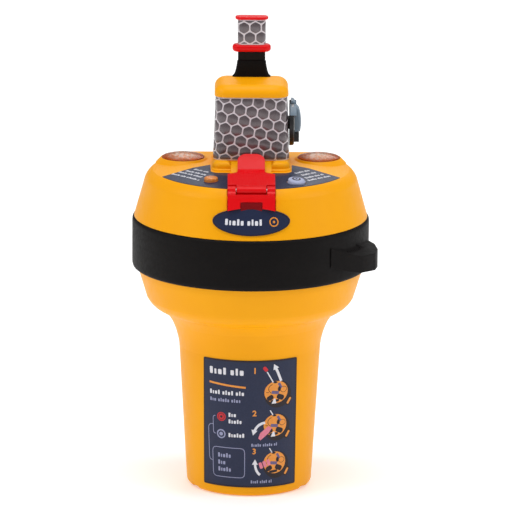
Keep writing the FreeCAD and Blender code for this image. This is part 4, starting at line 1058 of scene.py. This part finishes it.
def key_faces():
    """A crowned, slightly tipped face on the test key, and a power mark on the key under the flap."""
    low, high = box_mm("test_button")
    x, y = (low.x + high.x) / 2, (low.y + high.y) / 2
    outward = Vector((x, y)).normalized()

    def tipped(point):
        across = point.x * outward.x + point.y * outward.y
        radius = math.hypot(point.x, point.y)
        rise = 0.5 * (1 - (radius / 3.3) ** 2) - across * 0.16
        return point + Vector((0, 0, rise if point.z > 0.2 else 0))

    face = [(0, -0.6), (3.1, -0.6), (3.1, 0.35), (2.95, 0.6), (2.2, 0.62), (1.4, 0.62), (0.7, 0.62),
            (0, 0.62)]
    lathe("test_key_face", face, (x, y, high.z), finishes["key_rubber"], "test_key",
          steps=48, shape=tipped, smooth=50)
    mark = Print()
    mark.band(disc(0, 0, 2.7), 0.55, 0.45, 0.68, closed=True)
    mark.slab(disc(0, 0, 0.8), 0.45, 0.68)

    def on_key(across, up, lift):
        return tipped(Vector((across, up, lift))) + Vector((x, y, high.z))

    mark.finish("test_key_mark", inks["dark"], on_key, body="test_key", slot="key_rubber")
    low, high = box_mm("on_off_button")
    power = Print()
    centre_y = (low.y + high.y) / 2
    power.band(disc(0, centre_y, 3.4, start=math.pi * 0.66, sweep=math.pi * 1.68), 0.6, -0.1, 0.06)
    power.band([(0, centre_y + 0.2), (0, centre_y + 2.2)], 0.6, -0.1, 0.06)
    power.finish("power_key_mark", inks["red"], lambda a, b, lift: Vector((a, b, high.z + lift)),
                 body="power_key", slot="key_rubber")


key_faces()


# ---------------------------------------------------------------- studio

def aim(holder, target):
    """Turn a light or the camera to face a point."""
    direction = Vector(target) - holder.location
    holder.rotation_euler = direction.to_track_quat("-Z", "Y").to_euler()


def soft_light(name, place, size, watts):
    """A square area light that faces the middle of the unit."""
    data = bpy.data.lights.new(name, "AREA")
    data.energy = watts
    data.size = size
    lamp = placed(name, data)
    lamp.location = place
    aim(lamp, (0, 0, 0.09))


def make_floor():
    """A plain pale floor, faintly mottled, just under the base."""
    floor_mesh = bmesh.new()
    bmesh.ops.create_grid(floor_mesh, x_segments=12, y_segments=12, size=5.0)
    data = bpy.data.meshes.new("studio_floor")
    floor_mesh.to_mesh(data)
    floor_mesh.free()
    shade = Shade("floor_finish", Roughness=0.7, Specular_IOR_Level=0.1,
                  Emission_Color=(1.0, 1.0, 1.0, 1.0), Emission_Strength=0.3)
    cloud = shade.noise(0.004, 3.0)
    tone = shade.mix(cloud, "Fac", (0.93, 0.93, 0.93, 1), (0.9, 0.9, 0.9, 1))
    shade.colour(tone)
    data.materials.append(shade.material)
    floor = placed("studio_floor", data)
    floor.location.z = cad_box[0][2] - 0.0001


make_floor()
world = bpy.data.worlds.new("studio")
bpy.context.scene.world = world
world.use_nodes = True
background = world.node_tree.nodes["Background"].inputs
background["Color"].default_value = (1.0, 1.0, 1.0, 1.0)
background["Strength"].default_value = 0.3
soft_light("key", (-1.75, -0.6, 1.3), 1.0, 13)
soft_light("fill", (1.8, -0.45, 1.2), 1.0, 12)
soft_light("top", (0.0, -0.25, 1.8), 1.2, 18)
soft_light("back", (0.3, 1.5, 1.2), 1.0, 6)

target = Vector((1.73, 0.0, 87.9)) * MM
distance = 2.0
azimuth, elevation, roll = math.radians(-0.4), math.radians(13.5), math.radians(0.41)
camera_data = bpy.data.cameras.new("photo_view")
camera_data.sensor_width = 36
camera_data.lens = 375
camera_data.clip_start = 0.01
camera_data.clip_end = 50
camera = placed("photo_view", camera_data)
back = Vector((math.sin(azimuth) * math.cos(elevation), -math.cos(azimuth) * math.cos(elevation),
               math.sin(elevation)))
camera.location = target + back * distance
aim(camera, target)
level = camera.rotation_euler.to_matrix()
camera.rotation_euler = (level @ Matrix.Rotation(roll, 3, "Z")).to_euler()
bpy.context.scene.camera = camera
bpy.context.scene.view_settings.view_transform = "Standard"
